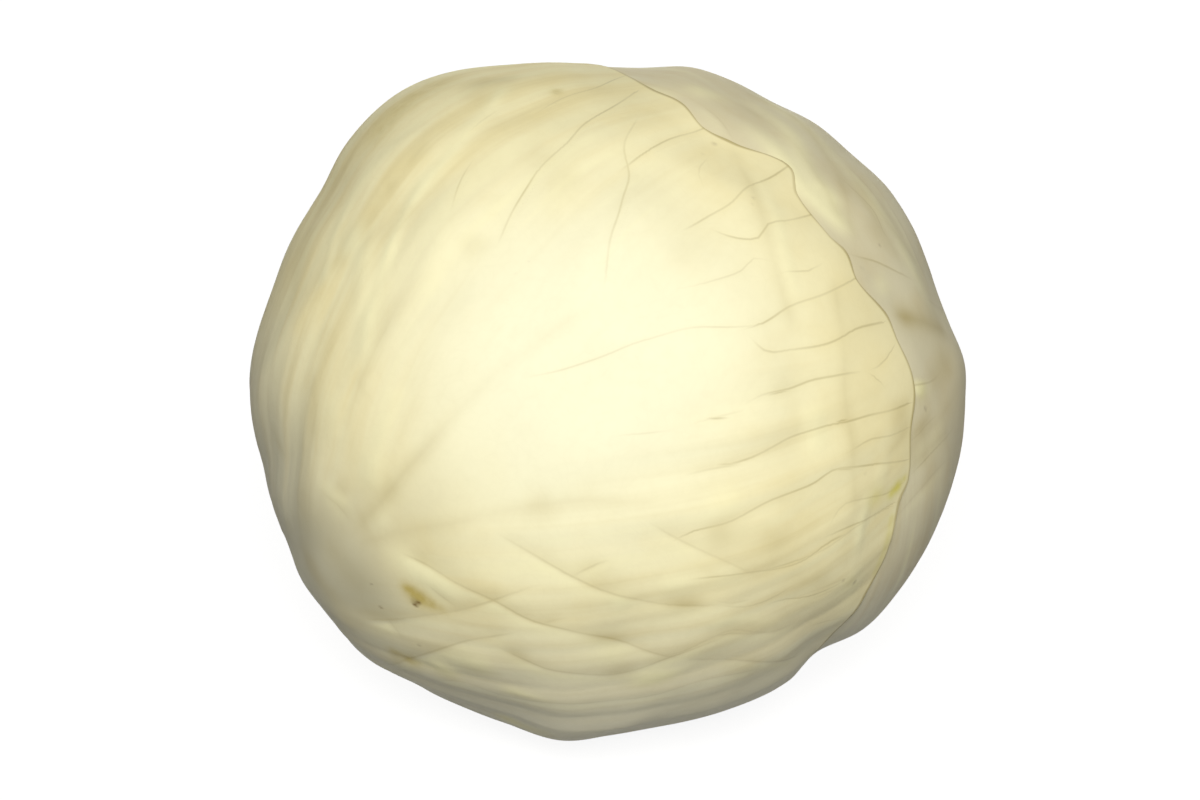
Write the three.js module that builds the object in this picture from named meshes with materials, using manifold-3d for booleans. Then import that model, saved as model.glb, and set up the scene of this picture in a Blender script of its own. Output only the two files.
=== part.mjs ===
// A trimmed white cabbage lying on its side: a cut stem, a tight heart and the wrapper leaves
// that fold over it. Millimetres, +Z up, origin at the middle of the flat spot the head rests on.
//
// Every surface is a radius that depends on the direction from the middle of the head, so the
// leaves nest: each one starts a small gap above what lies under it and adds its own thickness.

import * as THREE from 'three';
import { mergeVertices } from 'three/addons/utils/BufferGeometryUtils.js';
import Module from 'manifold-3d';

const wasm = await Module();
wasm.setup();

// ---------------------------------------------------------------- driving dimensions

// The head's broad side, its face, looks towards -Y and up by this angle.
const FACE_RISE = 25;

// The head's outline seen square on to its face: [degrees from +X towards the top, radius].
const HEAD_OUTLINE = [
  [0, 94.4], [6, 94.7], [13, 92.4], [20, 91.8], [35, 93], [45, 91.5], [53, 91.5], [61, 90],
  [69, 90.5], [76, 90.8], [85, 88.6], [95, 89.5], [105, 91.6], [115, 95.8], [122, 97.8],
  [128, 97.9], [136, 96.3], [144, 93.3], [153, 93.2], [165, 93.8], [178, 95], [190, 92.3],
  [197, 93.6], [210, 93.5], [218, 94.6], [228, 93.8], [237, 90.7], [252, 88.6], [262, 90.5],
  [270, 88.8], [279, 87.4], [290, 87.9], [303, 88.5], [310, 87], [318, 90.6], [326, 91.8],
  [337, 93.1], [350, 94.1],
];
const HALF_DEPTH = 87; // from the middle of the head to its face
const RIM_HOLD = 6; // how tightly the outline's dents keep to the rim
const RESTING_PRESS = 3.4; // how far the head's weight flattens it
const RESTING_BLEND = 0.8; // softness of that flat spot's edge

// The stem points along this direction: x across, y up the face, z out of the face.
const STEM_POINTS = [-0.8, -0.5, -0.33];
const FIRST_LEAF_FACES = [-0.301, -0.142, 0.943];
const STEM_RADIUS = 14.5;
const STEM_BURIED = 26; // below the head's round, to where the heart takes over
const STEM_PROUD = 0.5;
const STEM_FLARE = 1.6;
const STEM_HOLLOW = { depth: 8, radius: 34 }; // the dimple that the stem stands in

const GAP = 0.3; // clearance between neighbours
const BLADE = 1.3; // thickness of a leaf away from its rib
const RIB = { height: 4.6, half_width: 14, tip_half_width: 4, length: 130 };
const DRAPE = { from: 16, to: 34 }; // how far outside an edge the next leaf comes down
const SETTLE = 30; // how softly the heart gives way under a leaf

// The wrapper leaves, outermost first. turn: round the stem from the first leaf. lean: the
// angle from the stem to the leaf's middle. edge: [degrees round the leaf's middle from its
// tip, degrees out from its middle].
const LEAVES = [
  {
    name: 'leaf_front', turn: 0, lean: 90, color: 0xf1ead0,
    edge: [
      [-178, 97], [-171, 92], [-166, 80], [-161, 72.5], [-154, 69.5], [-145, 70.5], [-134, 74],
      [-120, 81], [-106, 88], [-92, 92], [-78, 95], [-66, 94], [-58, 88], [-50, 79.5],
      [-44, 74.6], [-38, 72.3], [-32, 68.8], [-26, 69.4], [-20, 72.5], [-16, 73], [-12, 69.4],
      [-3, 68.4], [1, 69.4], [6, 68.6], [13, 72], [18, 72.3], [26, 73.7], [33, 72.3], [41, 73.5],
      [45, 72.2], [56, 74.3], [63, 74.6], [70, 76.5], [77, 80.6], [84, 85], [92, 87],
      [101, 86.5], [112, 84], [124, 80], [136, 77], [148, 75], [156, 75], [161, 77], [166, 83],
      [171, 92],
    ],
  },
  {
    name: 'leaf_right', turn: 150, lean: 106, color: 0xe8e0bf,
    edge: [
      [-178, 113], [-171, 106], [-166, 92], [-161, 84], [-153, 82], [-141, 83], [-128, 86],
      [-116, 89], [-104, 92], [-90, 95.5], [-72, 98.5], [-56, 98], [-42, 101], [-30, 105],
      [-6, 105.5], [6, 107], [16, 113], [26, 117], [36, 119], [46, 115], [56, 105], [65, 93],
      [73, 81], [82, 72], [94, 65], [108, 61], [122, 60], [135, 62], [147, 68], [157, 78],
      [165, 92], [171, 108],
    ],
  },
  {
    name: 'leaf_top', turn: 264, lean: 96, color: 0xefe6c2,
    edge: [
      [-178, 103], [-171, 97], [-165, 84], [-157, 73], [-146, 66], [-132, 63], [-116, 64],
      [-100, 68], [-84, 74], [-66, 84], [-48, 92], [-28, 97], [-6, 97], [16, 98], [38, 95],
      [58, 87], [76, 77], [94, 68], [112, 61], [130, 56], [145, 54], [156, 56], [163, 65],
      [168, 81], [172, 97],
    ],
  },
  {
    name: 'leaf_under', turn: 62, lean: 94, color: 0xe6ddb6,
    edge: [
      [-178, 101], [-171, 96], [-165, 86], [-155, 80], [-142, 84], [-124, 92], [-104, 95],
      [-84, 93], [-64, 92], [-44, 96], [-22, 99], [0, 97], [22, 96], [44, 98], [66, 95],
      [88, 92], [110, 94], [128, 93], [144, 86], [156, 80], [165, 86], [172, 96],
    ],
  },
  {
    name: 'leaf_back', turn: 205, lean: 100, color: 0xece3c4,
    edge: [
      [-178, 107], [-171, 102], [-165, 91], [-156, 86], [-142, 90], [-124, 97], [-104, 99],
      [-84, 98], [-62, 96], [-40, 98], [-18, 100], [4, 98], [26, 99], [48, 97], [70, 94],
      [92, 95], [112, 98], [130, 96], [146, 90], [157, 86], [165, 92], [172, 102],
    ],
  },
  {
    name: 'leaf_inner', turn: 318, lean: 98, color: 0xf0e8c8,
    edge: [
      [-178, 105], [-171, 100], [-165, 89], [-154, 85], [-138, 93], [-118, 99], [-96, 97],
      [-74, 95], [-50, 97], [-26, 99], [0, 98], [26, 97], [52, 99], [76, 96], [98, 98],
      [120, 100], [138, 94], [154, 85], [165, 89], [172, 100],
    ],
  },
];

const DIRECTION_DETAIL = 7; // cuts each edge of the icosahedron of directions into 8
const CROWDING = { share: 0.42, reach: 55 }; // draws directions in round the stem, in degrees
const EDGE_STEPS = 80; // points round a leaf's edge
const EDGE_CROWDING = 0.35; // draws those points in round the leaf's base
const CUTTER_RADIUS = 150; // well outside the head
const CUTTER_RINGS = 7;

// ---------------------------------------------------------------- directions and curves

const degrees = THREE.MathUtils.degToRad;
const MEAN_RADIUS = 92;

const across = new THREE.Vector3(1, 0, 0);
const upFace = new THREE.Vector3(0, Math.sin(degrees(FACE_RISE)), Math.cos(degrees(FACE_RISE)));
const outOfFace = new THREE.Vector3().crossVectors(across, upFace);

function fromFace([x, y, z]) {
  return new THREE.Vector3()
    .addScaledVector(across, x)
    .addScaledVector(upFace, y)
    .addScaledVector(outOfFace, z)
    .normalize();
}

const stemWay = fromFace(STEM_POINTS);
const tipWay = stemWay.clone().negate();
const firstWay = fromFace(FIRST_LEAF_FACES);
firstWay.addScaledVector(stemWay, -firstWay.dot(stemWay)).normalize();
const secondWay = new THREE.Vector3().crossVectors(tipWay, firstWay);

function smoothStep(value, from, to) {
  return THREE.MathUtils.smoothstep(value, from, to);
}

// A smooth closed curve through [degrees, value] points: a cubic on each stretch, whose slope
// at a point is that of the line between the point's two neighbours.
function ringCurve(points) {
  const count = points.length;
  const at = (i) => {
    const turn = Math.floor(i / count);
    const [angle, value] = points[i - turn * count];
    return [angle + 360 * turn, value];
  };
  const slope = (i) => (at(i + 1)[1] - at(i - 1)[1]) / (at(i + 1)[0] - at(i - 1)[0]);
  return (radians) => {
    const first = points[0][0];
    const angle = first + THREE.MathUtils.euclideanModulo(radians / degrees(1) - first, 360);
    let i = 0;
    while (at(i + 1)[0] <= angle) i += 1;
    const span = at(i + 1)[0] - at(i)[0];
    const t = (angle - at(i)[0]) / span;
    const s = 1 - t;
    return s * s * (1 + 2 * t) * at(i)[1] + t * t * (1 + 2 * s) * at(i + 1)[1]
      + s * t * span * (s * slope(i) - t * slope(i + 1));
  };
}

// The same curve with only its first few waves kept.
function broadCurve(curve, waves) {
  const samples = 144;
  const terms = [];
  for (let wave = 0; wave <= waves; wave += 1) {
    let cosine = 0;
    let sine = 0;
    for (let i = 0; i < samples; i += 1) {
      const angle = (2 * Math.PI * i) / samples;
      cosine += curve(angle) * Math.cos(wave * angle);
      sine += curve(angle) * Math.sin(wave * angle);
    }
    const share = (wave === 0 ? 1 : 2) / samples;
    terms.push([wave, cosine * share, sine * share]);
  }
  return (angle) => terms.reduce(
    (sum, [wave, c, s]) => sum + c * Math.cos(wave * angle) + s * Math.sin(wave * angle), 0);
}

// ---------------------------------------------------------------- the head's round

const outline = ringCurve(HEAD_OUTLINE);
const broadOutline = broadCurve(outline, 3);

// The head's outer radius: an ellipsoid on the broad outline, with the outline's own dents and
// corners added near the rim and the stem's dimple taken out.
function headRadius(way) {
  const x = way.dot(across);
  const y = way.dot(upFace);
  const z = way.dot(outOfFace);
  const out = Math.hypot(x, y);
  const angle = Math.atan2(y, x);
  const round = 1 / Math.hypot(out / broadOutline(angle), z / HALF_DEPTH);
  const dents = (outline(angle) - broadOutline(angle)) * out ** RIM_HOLD;
  const fromStem = way.angleTo(stemWay) * MEAN_RADIUS;
  const dimple = STEM_HOLLOW.depth * Math.exp(-((fromStem / STEM_HOLLOW.radius) ** 2));
  return round + dents - dimple;
}

// ---------------------------------------------------------------- one leaf

function leafFrame({ turn, lean, edge }) {
  const middle = new THREE.Vector3()
    .addScaledVector(stemWay, Math.cos(degrees(lean)))
    .addScaledVector(firstWay, Math.sin(degrees(lean)) * Math.cos(degrees(turn)))
    .addScaledVector(secondWay, Math.sin(degrees(lean)) * Math.sin(degrees(turn)));
  const tip = tipWay.clone().addScaledVector(middle, -tipWay.dot(middle)).normalize();
  const side = new THREE.Vector3().crossVectors(tip, middle);
  const rib = middle.clone().addScaledVector(stemWay, -stemWay.dot(middle)).normalize();
  return { middle, tip, side, rib, edge: ringCurve(edge) };
}

// How far a direction lies outside the leaf's edge, in millimetres along the head.
function outsideEdge(frame, way) {
  const angle = Math.atan2(way.dot(frame.side), way.dot(frame.tip));
  const edge = frame.edge(angle);
  const step = degrees(1);
  const slant = (frame.edge(angle + step) - frame.edge(angle - step)) / 2 / Math.sin(degrees(edge));
  const beyond = way.angleTo(frame.middle) - degrees(edge);
  return (beyond * MEAN_RADIUS) / Math.hypot(1, slant);
}

// The blade, with the rib that runs from the stem along the leaf's middle line and fades out.
function leafThickness(frame, way) {
  const along = way.angleTo(stemWay) * MEAN_RADIUS;
  const aside = Math.asin(THREE.MathUtils.clamp(way.dot(frame.side), -1, 1)) * MEAN_RADIUS;
  const outward = Math.asin(THREE.MathUtils.clamp(way.dot(frame.rib), -1, 1)) * MEAN_RADIUS;
  const fade = 1 - smoothStep(along, 0, RIB.length);
  const halfWidth = RIB.tip_half_width + (RIB.half_width - RIB.tip_half_width) * fade;
  const rise = fade * smoothStep(outward, 0, STEM_RADIUS);
  return BLADE + RIB.height * rise * Math.exp(-((aside / halfWidth) ** 2));
}

// ---------------------------------------------------------------- the stack of layers

const frames = LEAVES.map(leafFrame);

// Radii of every layer in one direction, before the resting spot is pressed in: the heart's
// top, and each leaf's underside and top.
function layersAt(way) {
  const settled = frames.reduce((sum, frame) => {
    const cover = 1 - smoothStep(outsideEdge(frame, way), -SETTLE, SETTLE);
    return sum + cover * (BLADE + GAP);
  }, 0);
  const heart = headRadius(way) - settled;
  const leaves = new Array(frames.length);
  let top = heart;
  for (let i = frames.length - 1; i >= 0; i -= 1) {
    const thickness = leafThickness(frames[i], way);
    const cover = 1 - smoothStep(outsideEdge(frames[i], way), DRAPE.from, DRAPE.to);
    leaves[i] = { under: top + GAP, top: top + GAP + thickness };
    top += cover * (thickness + GAP);
  }
  return { heart, leaves, outer: top };
}

const down = new THREE.Vector3(0, 0, -1);
const middleHeight = layersAt(down).outer - RESTING_PRESS;
const headMiddle = new THREE.Vector3(0, 0, middleHeight);

// How far the layers are pressed towards the middle where the head rests.
function press(way, outer) {
  if (way.z > -0.5) return 0;
  const excess = outer - middleHeight / -way.z;
  if (excess <= -RESTING_BLEND) return 0;
  if (excess >= RESTING_BLEND) return excess;
  return (excess + RESTING_BLEND) ** 2 / (4 * RESTING_BLEND);
}

// ---------------------------------------------------------------- closed meshes

function weld(geometry) {
  const bare = geometry.clone();
  bare.deleteAttribute('normal');
  bare.deleteAttribute('uv');
  return mergeVertices(bare, 1e-4);
}

function toSolid(geometry) {
  const welded = weld(geometry);
  return new wasm.Manifold(new wasm.Mesh({
    numProp: 3,
    vertProperties: new Float32Array(welded.attributes.position.array),
    triVerts: new Uint32Array(welded.index.array),
  }));
}

function toMesh(name, solid, color, roughness) {
  const { vertProperties, triVerts } = solid.getMesh();
  const geometry = new THREE.BufferGeometry();
  geometry.setAttribute('position', new THREE.BufferAttribute(vertProperties, 3));
  geometry.setIndex(new THREE.BufferAttribute(triVerts, 1));
  geometry.computeVertexNormals();
  const material = new THREE.MeshStandardMaterial({ color, roughness, metalness: 0 });
  const mesh = new THREE.Mesh(geometry, material);
  mesh.name = name;
  return mesh;
}

// One set of directions serves every layer, so flat facets of neighbours stay parallel. One
// direction points straight down, into the resting spot.
function directionSphere() {
  const ball = weld(new THREE.IcosahedronGeometry(1, DIRECTION_DETAIL));
  const corner = new THREE.Vector3().fromBufferAttribute(ball.attributes.position, 0).normalize();
  ball.applyQuaternion(new THREE.Quaternion().setFromUnitVectors(corner, down));
  return ball;
}

// Turns a direction towards the stem, so that the facets there are smaller.
function crowd(way) {
  const fromStem = way.angleTo(stemWay);
  const turn = fromStem * CROWDING.share * Math.exp(-((fromStem / degrees(CROWDING.reach)) ** 2));
  const axis = new THREE.Vector3().crossVectors(way, stemWay).normalize();
  return way.clone().applyAxisAngle(axis, turn);
}

const sphere = directionSphere();
const ways = [];
for (let i = 0; i < sphere.attributes.position.count; i += 1) {
  const even = new THREE.Vector3().fromBufferAttribute(sphere.attributes.position, i);
  ways.push(crowd(even.normalize()));
}
const stacks = ways.map(layersAt);
const pressed = ways.map((way, i) => press(way, stacks[i].outer));

function layerSolid(radiusOf) {
  const positions = ways.flatMap((way, i) => {
    const point = headMiddle.clone().addScaledVector(way, radiusOf(stacks[i]) - pressed[i]);
    return point.toArray();
  });
  const geometry = new THREE.BufferGeometry();
  geometry.setAttribute('position', new THREE.Float32BufferAttribute(positions, 3));
  geometry.setIndex(sphere.index);
  return toSolid(geometry);
}

// Everything seen from the middle of the head through the leaf's edge: a fan of rings out to
// the edge on a large sphere, closed by flat walls that meet at the middle.
function edgeCutter(frame) {
  const points = [headMiddle.toArray()];
  const place = (angle, out) => {
    const sideways = new THREE.Vector3()
      .addScaledVector(frame.tip, Math.cos(angle))
      .addScaledVector(frame.side, Math.sin(angle));
    return headMiddle.clone()
      .addScaledVector(frame.middle, CUTTER_RADIUS * Math.cos(out))
      .addScaledVector(sideways, CUTTER_RADIUS * Math.sin(out))
      .toArray();
  };
  points.push(place(0, 0));
  for (let ring = 1; ring <= CUTTER_RINGS; ring += 1) {
    for (let i = 0; i < EDGE_STEPS; i += 1) {
      const even = (2 * Math.PI * i) / EDGE_STEPS;
      const angle = even + EDGE_CROWDING * Math.sin(even);
      points.push(place(angle, degrees(frame.edge(angle)) * (ring / CUTTER_RINGS)));
    }
  }
  const at = (ring, i) => 2 + (ring - 1) * EDGE_STEPS + (i % EDGE_STEPS);
  const faces = [];
  for (let i = 0; i < EDGE_STEPS; i += 1) {
    faces.push(1, at(1, i + 1), at(1, i));
    for (let ring = 1; ring < CUTTER_RINGS; ring += 1) {
      faces.push(at(ring, i), at(ring, i + 1), at(ring + 1, i));
      faces.push(at(ring, i + 1), at(ring + 1, i + 1), at(ring + 1, i));
    }
    faces.push(0, at(CUTTER_RINGS, i), at(CUTTER_RINGS, i + 1));
  }
  const geometry = new THREE.BufferGeometry();
  geometry.setAttribute('position', new THREE.Float32BufferAttribute(points.flat(), 3));
  geometry.setIndex(faces);
  return toSolid(geometry);
}

// ---------------------------------------------------------------- the stem

const stemFoot = headRadius(stemWay) - STEM_BURIED; // where the stem leaves the heart
const stemFace = headRadius(stemWay) + RIB.height + STEM_PROUD; // where it was cut

// A round bar along the stem's direction, from one distance from the head's middle to another.
function stemBar(profile) {
  const bar = new THREE.LatheGeometry(profile.map(([x, y]) => new THREE.Vector2(x, y)), 24);
  bar.applyQuaternion(new THREE.Quaternion().setFromUnitVectors(new THREE.Vector3(0, 1, 0), stemWay));
  bar.translate(...headMiddle.toArray());
  return toSolid(bar);
}

function stem() {
  const shoulder = stemFace - 1.2;
  return stemBar([
    [0, stemFoot], [STEM_RADIUS - 1, stemFoot], [STEM_RADIUS, stemFoot + 2],
    [STEM_RADIUS, stemFace - 9], [STEM_RADIUS + STEM_FLARE * 0.3, shoulder],
    [STEM_RADIUS - 0.8, stemFace], [0, stemFace],
  ]);
}

function stemSocket() {
  const radius = STEM_RADIUS + STEM_FLARE * 0.3 + GAP;
  return stemBar([
    [0, stemFoot - GAP], [radius, stemFoot - GAP], [radius, CUTTER_RADIUS], [0, CUTTER_RADIUS],
  ]);
}

// ---------------------------------------------------------------- the whole head

const socket = stemSocket();

function heart() {
  return layerSolid((stack) => stack.heart).subtract(socket);
}

function leaf(index) {
  const shell = layerSolid((stack) => stack.leaves[index].top)
    .subtract(layerSolid((stack) => stack.leaves[index].under));
  return shell.intersect(edgeCutter(frames[index])).subtract(socket);
}

const cabbage = new THREE.Group();
cabbage.add(toMesh('stem', stem(), 0xd9cfa6, 0.7));
cabbage.add(toMesh('heart', heart(), 0xf2edcf, 0.5));
LEAVES.forEach(({ name, color }, index) => {
  cabbage.add(toMesh(name, leaf(index), color, 0.45));
});

export default cabbage;
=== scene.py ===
# A trimmed white cabbage lying on its side, on a pale floor: the finished surfaces of its leaves,
# its cut stem and its heart, with the lights and the camera.
import math

import bpy
import numpy as np
from mathutils import Matrix, Vector


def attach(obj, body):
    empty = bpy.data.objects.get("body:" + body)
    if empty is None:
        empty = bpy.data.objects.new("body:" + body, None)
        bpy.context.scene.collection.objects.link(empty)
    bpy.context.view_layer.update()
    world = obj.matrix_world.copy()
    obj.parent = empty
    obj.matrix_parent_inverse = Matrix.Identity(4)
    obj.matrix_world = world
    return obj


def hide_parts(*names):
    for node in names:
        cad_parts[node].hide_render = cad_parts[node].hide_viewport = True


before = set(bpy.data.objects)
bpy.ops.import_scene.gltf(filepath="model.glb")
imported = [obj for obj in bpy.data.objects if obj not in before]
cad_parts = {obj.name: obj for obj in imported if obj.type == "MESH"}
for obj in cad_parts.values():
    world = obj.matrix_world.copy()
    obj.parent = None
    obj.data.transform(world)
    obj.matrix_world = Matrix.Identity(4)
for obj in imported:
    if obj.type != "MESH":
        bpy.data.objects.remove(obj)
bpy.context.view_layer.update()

# ------------------------------------------------------------------ driving values, millimetres
#
# Everything is worked out in the head's own frame: x across the head, y up its broad face and
# z out of that face, from the middle of the head. head_matrix turns that into the scene.

METRES = 0.001
FACE_RISE = math.radians(25)

# The head's outline seen square on to its face: (degrees from across towards up, radius).
HEAD_OUTLINE = [
    (0, 94.4), (6, 94.7), (13, 92.4), (20, 91.8), (35, 93), (45, 91.5), (53, 91.5), (61, 90),
    (69, 90.5), (76, 90.8), (85, 88.6), (95, 89.5), (105, 91.6), (115, 95.8), (122, 97.8),
    (128, 97.9), (136, 96.3), (144, 93.3), (153, 93.2), (165, 93.8), (178, 95), (190, 92.3),
    (197, 93.6), (210, 93.5), (218, 94.6), (228, 93.8), (237, 90.7), (252, 88.6), (262, 90.5),
    (270, 88.8), (279, 87.4), (290, 87.9), (303, 88.5), (310, 87), (318, 90.6), (326, 91.8),
    (337, 93.1), (350, 94.1),
]
HALF_DEPTH = 87          # from the middle of the head to its face
RIM_HOLD = 6             # how tightly the outline's dents keep to the rim
MIDDLE_HEIGHT = 85.97    # of the middle of the head over what it rests on
RESTING_BLEND = 0.8      # softness of the edge of the flat spot it rests on
RESTING_FADE = 2.5       # nearer to the floor than this, the relief dies away
MEAN_RADIUS = 92         # turns angles at the middle into millimetres along the head
FACE_RADIUS = 96         # of a circle round the face, for a first guess at its height
FACE_ROUNDS = 12         # of the search for the height of a point on it

STEM_POINTS = (-0.8, -0.5, -0.33)
FIRST_LEAF_FACES = (-0.301, -0.142, 0.943)    # the way that the first leaf's middle faces
STEM_RADIUS = 14.5
STEM_BURIED = 26         # how far the stem reaches into the head
STEM_PROUD = 0.5         # how far its cut face stands out past the height of a rib
DIMPLE_DEPTH = 8         # of the hollow in the head round the stem
DIMPLE_RADIUS = 34

GAP = 0.3                # clearance between neighbours
BLADE = 1.3              # thickness of a leaf away from its rib and its edge
MARGIN_THICKNESS = 0.4
MARGIN_TAPER = 20        # over this far from the edge, the blade thins
RIB_HEIGHT = 4.6
RIB_HALF_WIDTH = 11
RIB_TIP_HALF_WIDTH = 4
RIB_LENGTH = 130
RIB_FADE = 34            # over this far along, the rib's height falls by the factor e
DRAPE = (1, 28)          # over this far outside a leaf's edge, what lies on it comes down
SETTLE = 30              # the heart starts to give way this far outside an edge, and does so
                         # fully this far inside it
SIDE_VEIN_SLANT = 0.7    # tangent of the angle between the side veins and the way to the stem
SIDE_OFFSET = 7          # sets the streaks of a leaf's one side apart from the other's

CURVE_SAMPLES = 144            # places round a closed curve from which its waves are found
PLANE_WAVES = 28               # plane waves that make up one smooth noise
BROAD_SWELL = (0.55, 62)       # height and length of the head's soft unevenness
SMALL_SWELL = (0.22, 27)
SWELL_LOSS = 0.8               # share of it that is missing at the rim
SWELL_FROM_FLOOR = (15, 45)    # and it grows over this far from the place it rests on
FINE_FAN = (0.04, 5)           # height, and length before they are drawn out, of the ridges
                               # that fan out from a rib
BROAD_FAN = (0.17, 15)
FAN_LOSS = 0.6                 # share of them that is missing at the rim
FAN_ALONG = 9                  # how fast they change along their lines
FAN_ACROSS = 75                # and across them
FAN_BY_RIB = (0.03, 0.3)       # angles over which a leaf's fan of lines comes up by its rib
FAN_BY_STEM = (0.2, 0.8)       # and by the stem, in radians
FAN_PAST_TIP = (2, 2.7)        # and over which it dies away again

# The wrapper leaves, outermost first: the turn round the stem from the first leaf, the lean of
# the leaf's middle from the stem, and the edge as (degrees round from the tip, degrees out).
LEAVES = {
    "leaf_front": (0, 90, [
        (-178, 97), (-171, 92), (-166, 80), (-161, 72.5), (-154, 69.5), (-145, 70.5),
        (-134, 74), (-120, 81), (-106, 88), (-92, 92), (-78, 95), (-66, 94), (-58, 88),
        (-50, 79.5), (-44, 74.6), (-38, 72.3), (-32, 68.8), (-26, 69.4), (-20, 72.5),
        (-16, 73), (-12, 69.4), (-3, 68.4), (1, 69.4), (6, 68.6), (13, 72), (18, 72.3),
        (26, 73.7), (33, 72.3), (41, 73.5), (45, 72.2), (56, 74.3), (63, 74.6), (70, 76.5),
        (77, 80.6), (84, 85), (92, 87), (101, 86.5), (112, 84), (124, 80), (136, 77),
        (148, 75), (156, 75), (161, 77), (166, 83), (171, 92),
    ]),
    "leaf_right": (150, 106, [
        (-178, 113), (-171, 106), (-166, 92), (-161, 84), (-153, 82), (-141, 83), (-128, 86),
        (-116, 89), (-104, 92), (-90, 95.5), (-72, 98.5), (-56, 98), (-42, 101), (-30, 105),
        (-6, 105.5), (6, 107), (16, 113), (26, 117), (36, 119), (46, 115), (56, 105),
        (65, 93), (73, 81), (82, 72), (94, 65), (108, 61), (122, 60), (135, 62), (147, 68),
        (157, 78), (165, 92), (171, 108),
    ]),
    "leaf_top": (264, 96, [
        (-178, 103), (-171, 97), (-165, 84), (-157, 73), (-146, 66), (-132, 63), (-116, 64),
        (-100, 68), (-84, 74), (-66, 84), (-48, 92), (-28, 97), (-6, 97), (16, 98),
        (38, 95), (58, 87), (76, 77), (94, 68), (112, 61), (130, 56), (145, 54), (156, 56),
        (163, 65), (168, 81), (172, 97),
    ]),
    "leaf_under": (62, 94, [
        (-178, 101), (-171, 96), (-165, 86), (-155, 80), (-142, 84), (-124, 92), (-104, 95),
        (-84, 93), (-64, 92), (-44, 96), (-22, 99), (0, 97), (22, 96), (44, 98), (66, 95),
        (88, 92), (110, 94), (128, 93), (144, 86), (156, 80), (165, 86), (172, 96),
    ]),
    "leaf_back": (205, 100, [
        (-178, 107), (-171, 102), (-165, 91), (-156, 86), (-142, 90), (-124, 97), (-104, 99),
        (-84, 98), (-62, 96), (-40, 98), (-18, 100), (4, 98), (26, 99), (48, 97), (70, 94),
        (92, 95), (112, 98), (130, 96), (146, 90), (157, 86), (165, 92), (172, 102),
    ]),
    "leaf_inner": (318, 98, [
        (-178, 105), (-171, 100), (-165, 89), (-154, 85), (-138, 93), (-118, 99), (-96, 97),
        (-74, 95), (-50, 97), (-26, 99), (0, 98), (26, 97), (52, 99), (76, 96), (98, 98),
        (120, 100), (138, 94), (154, 85), (165, 89), (172, 100),
    ]),
}

# How many cells each leaf's grid has along a side; the underside keeps every fourth line.
GRID_CELLS = {
    "leaf_front": 292, "leaf_right": 284, "leaf_top": 228,
    "leaf_under": 200, "leaf_back": 200, "leaf_inner": 180,
}
UNDERSIDE_STEP = 4
EDGE_HOLD = 6            # how tightly the edge's small waves keep to it
LAST_CELL = 0.3          # the cell at a leaf's edge is this share of the others
EDGE_ROUNDING = 0.18     # how far the edge's middle stands out past its two corners

# ------------------------------------------------------------------ marks on the leaves
#
# How each kind of line shows: its width and how far it raises the skin, how much it darkens
# the skin or makes it paler, and the strength and half width of a fine line along its middle.
# The darkening is an olive tint along veins and hairs, a tan tint along bands, and painted
# shade beside creases; the soft dark marks are painted shade beside folds and where the skin
# turns from the light, and a tan tint in a few places. The paling is painted light along
# creases, ridges and folds. A sharp one is a crease with long flanks, painted shade on its
# left and painted light on its right; the others are bell curves across.

KINDS = {
    "vein": dict(width=1.1, height=-0.03, sharp=False, shade=0.035, pale=0, line=0.8, fine=0.52),
    "hair": dict(width=0.9, height=-0.015, sharp=False, shade=0.02, pale=0, line=0.5, fine=0.45),
    "band": dict(width=1.8, height=0.02, sharp=False, shade=0.13, pale=0, line=0.1, fine=1.2),
    "tan_and_painted_shade": dict(width=3.4, height=0, sharp=False, shade=0.13, pale=0, line=0, fine=0),
    "crease": dict(width=1.5, height=-0.06, sharp=True, shade=0.14, pale=0.8, line=0.4, fine=0.6),
    "ridge": dict(width=1.9, height=0.2, sharp=False, shade=0, pale=0.9, line=0, fine=0),
    "fold": dict(width=3.2, height=0.24, sharp=False, shade=0, pale=0.8, line=0, fine=0),
}
LINE_WANDER = 0.12       # how far a line strays to each side of its smooth course
WANDER_LENGTH = 16       # and over what length it does so
STRIP_REACH = 8          # how far a crease's dark strip and its pale strip reach
BELL_REACH = 2.6         # a bell curve is followed out to at least this many widths
CREASE_ROUNDING = 0.5    # half width of the rounding at a crease's middle

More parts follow.
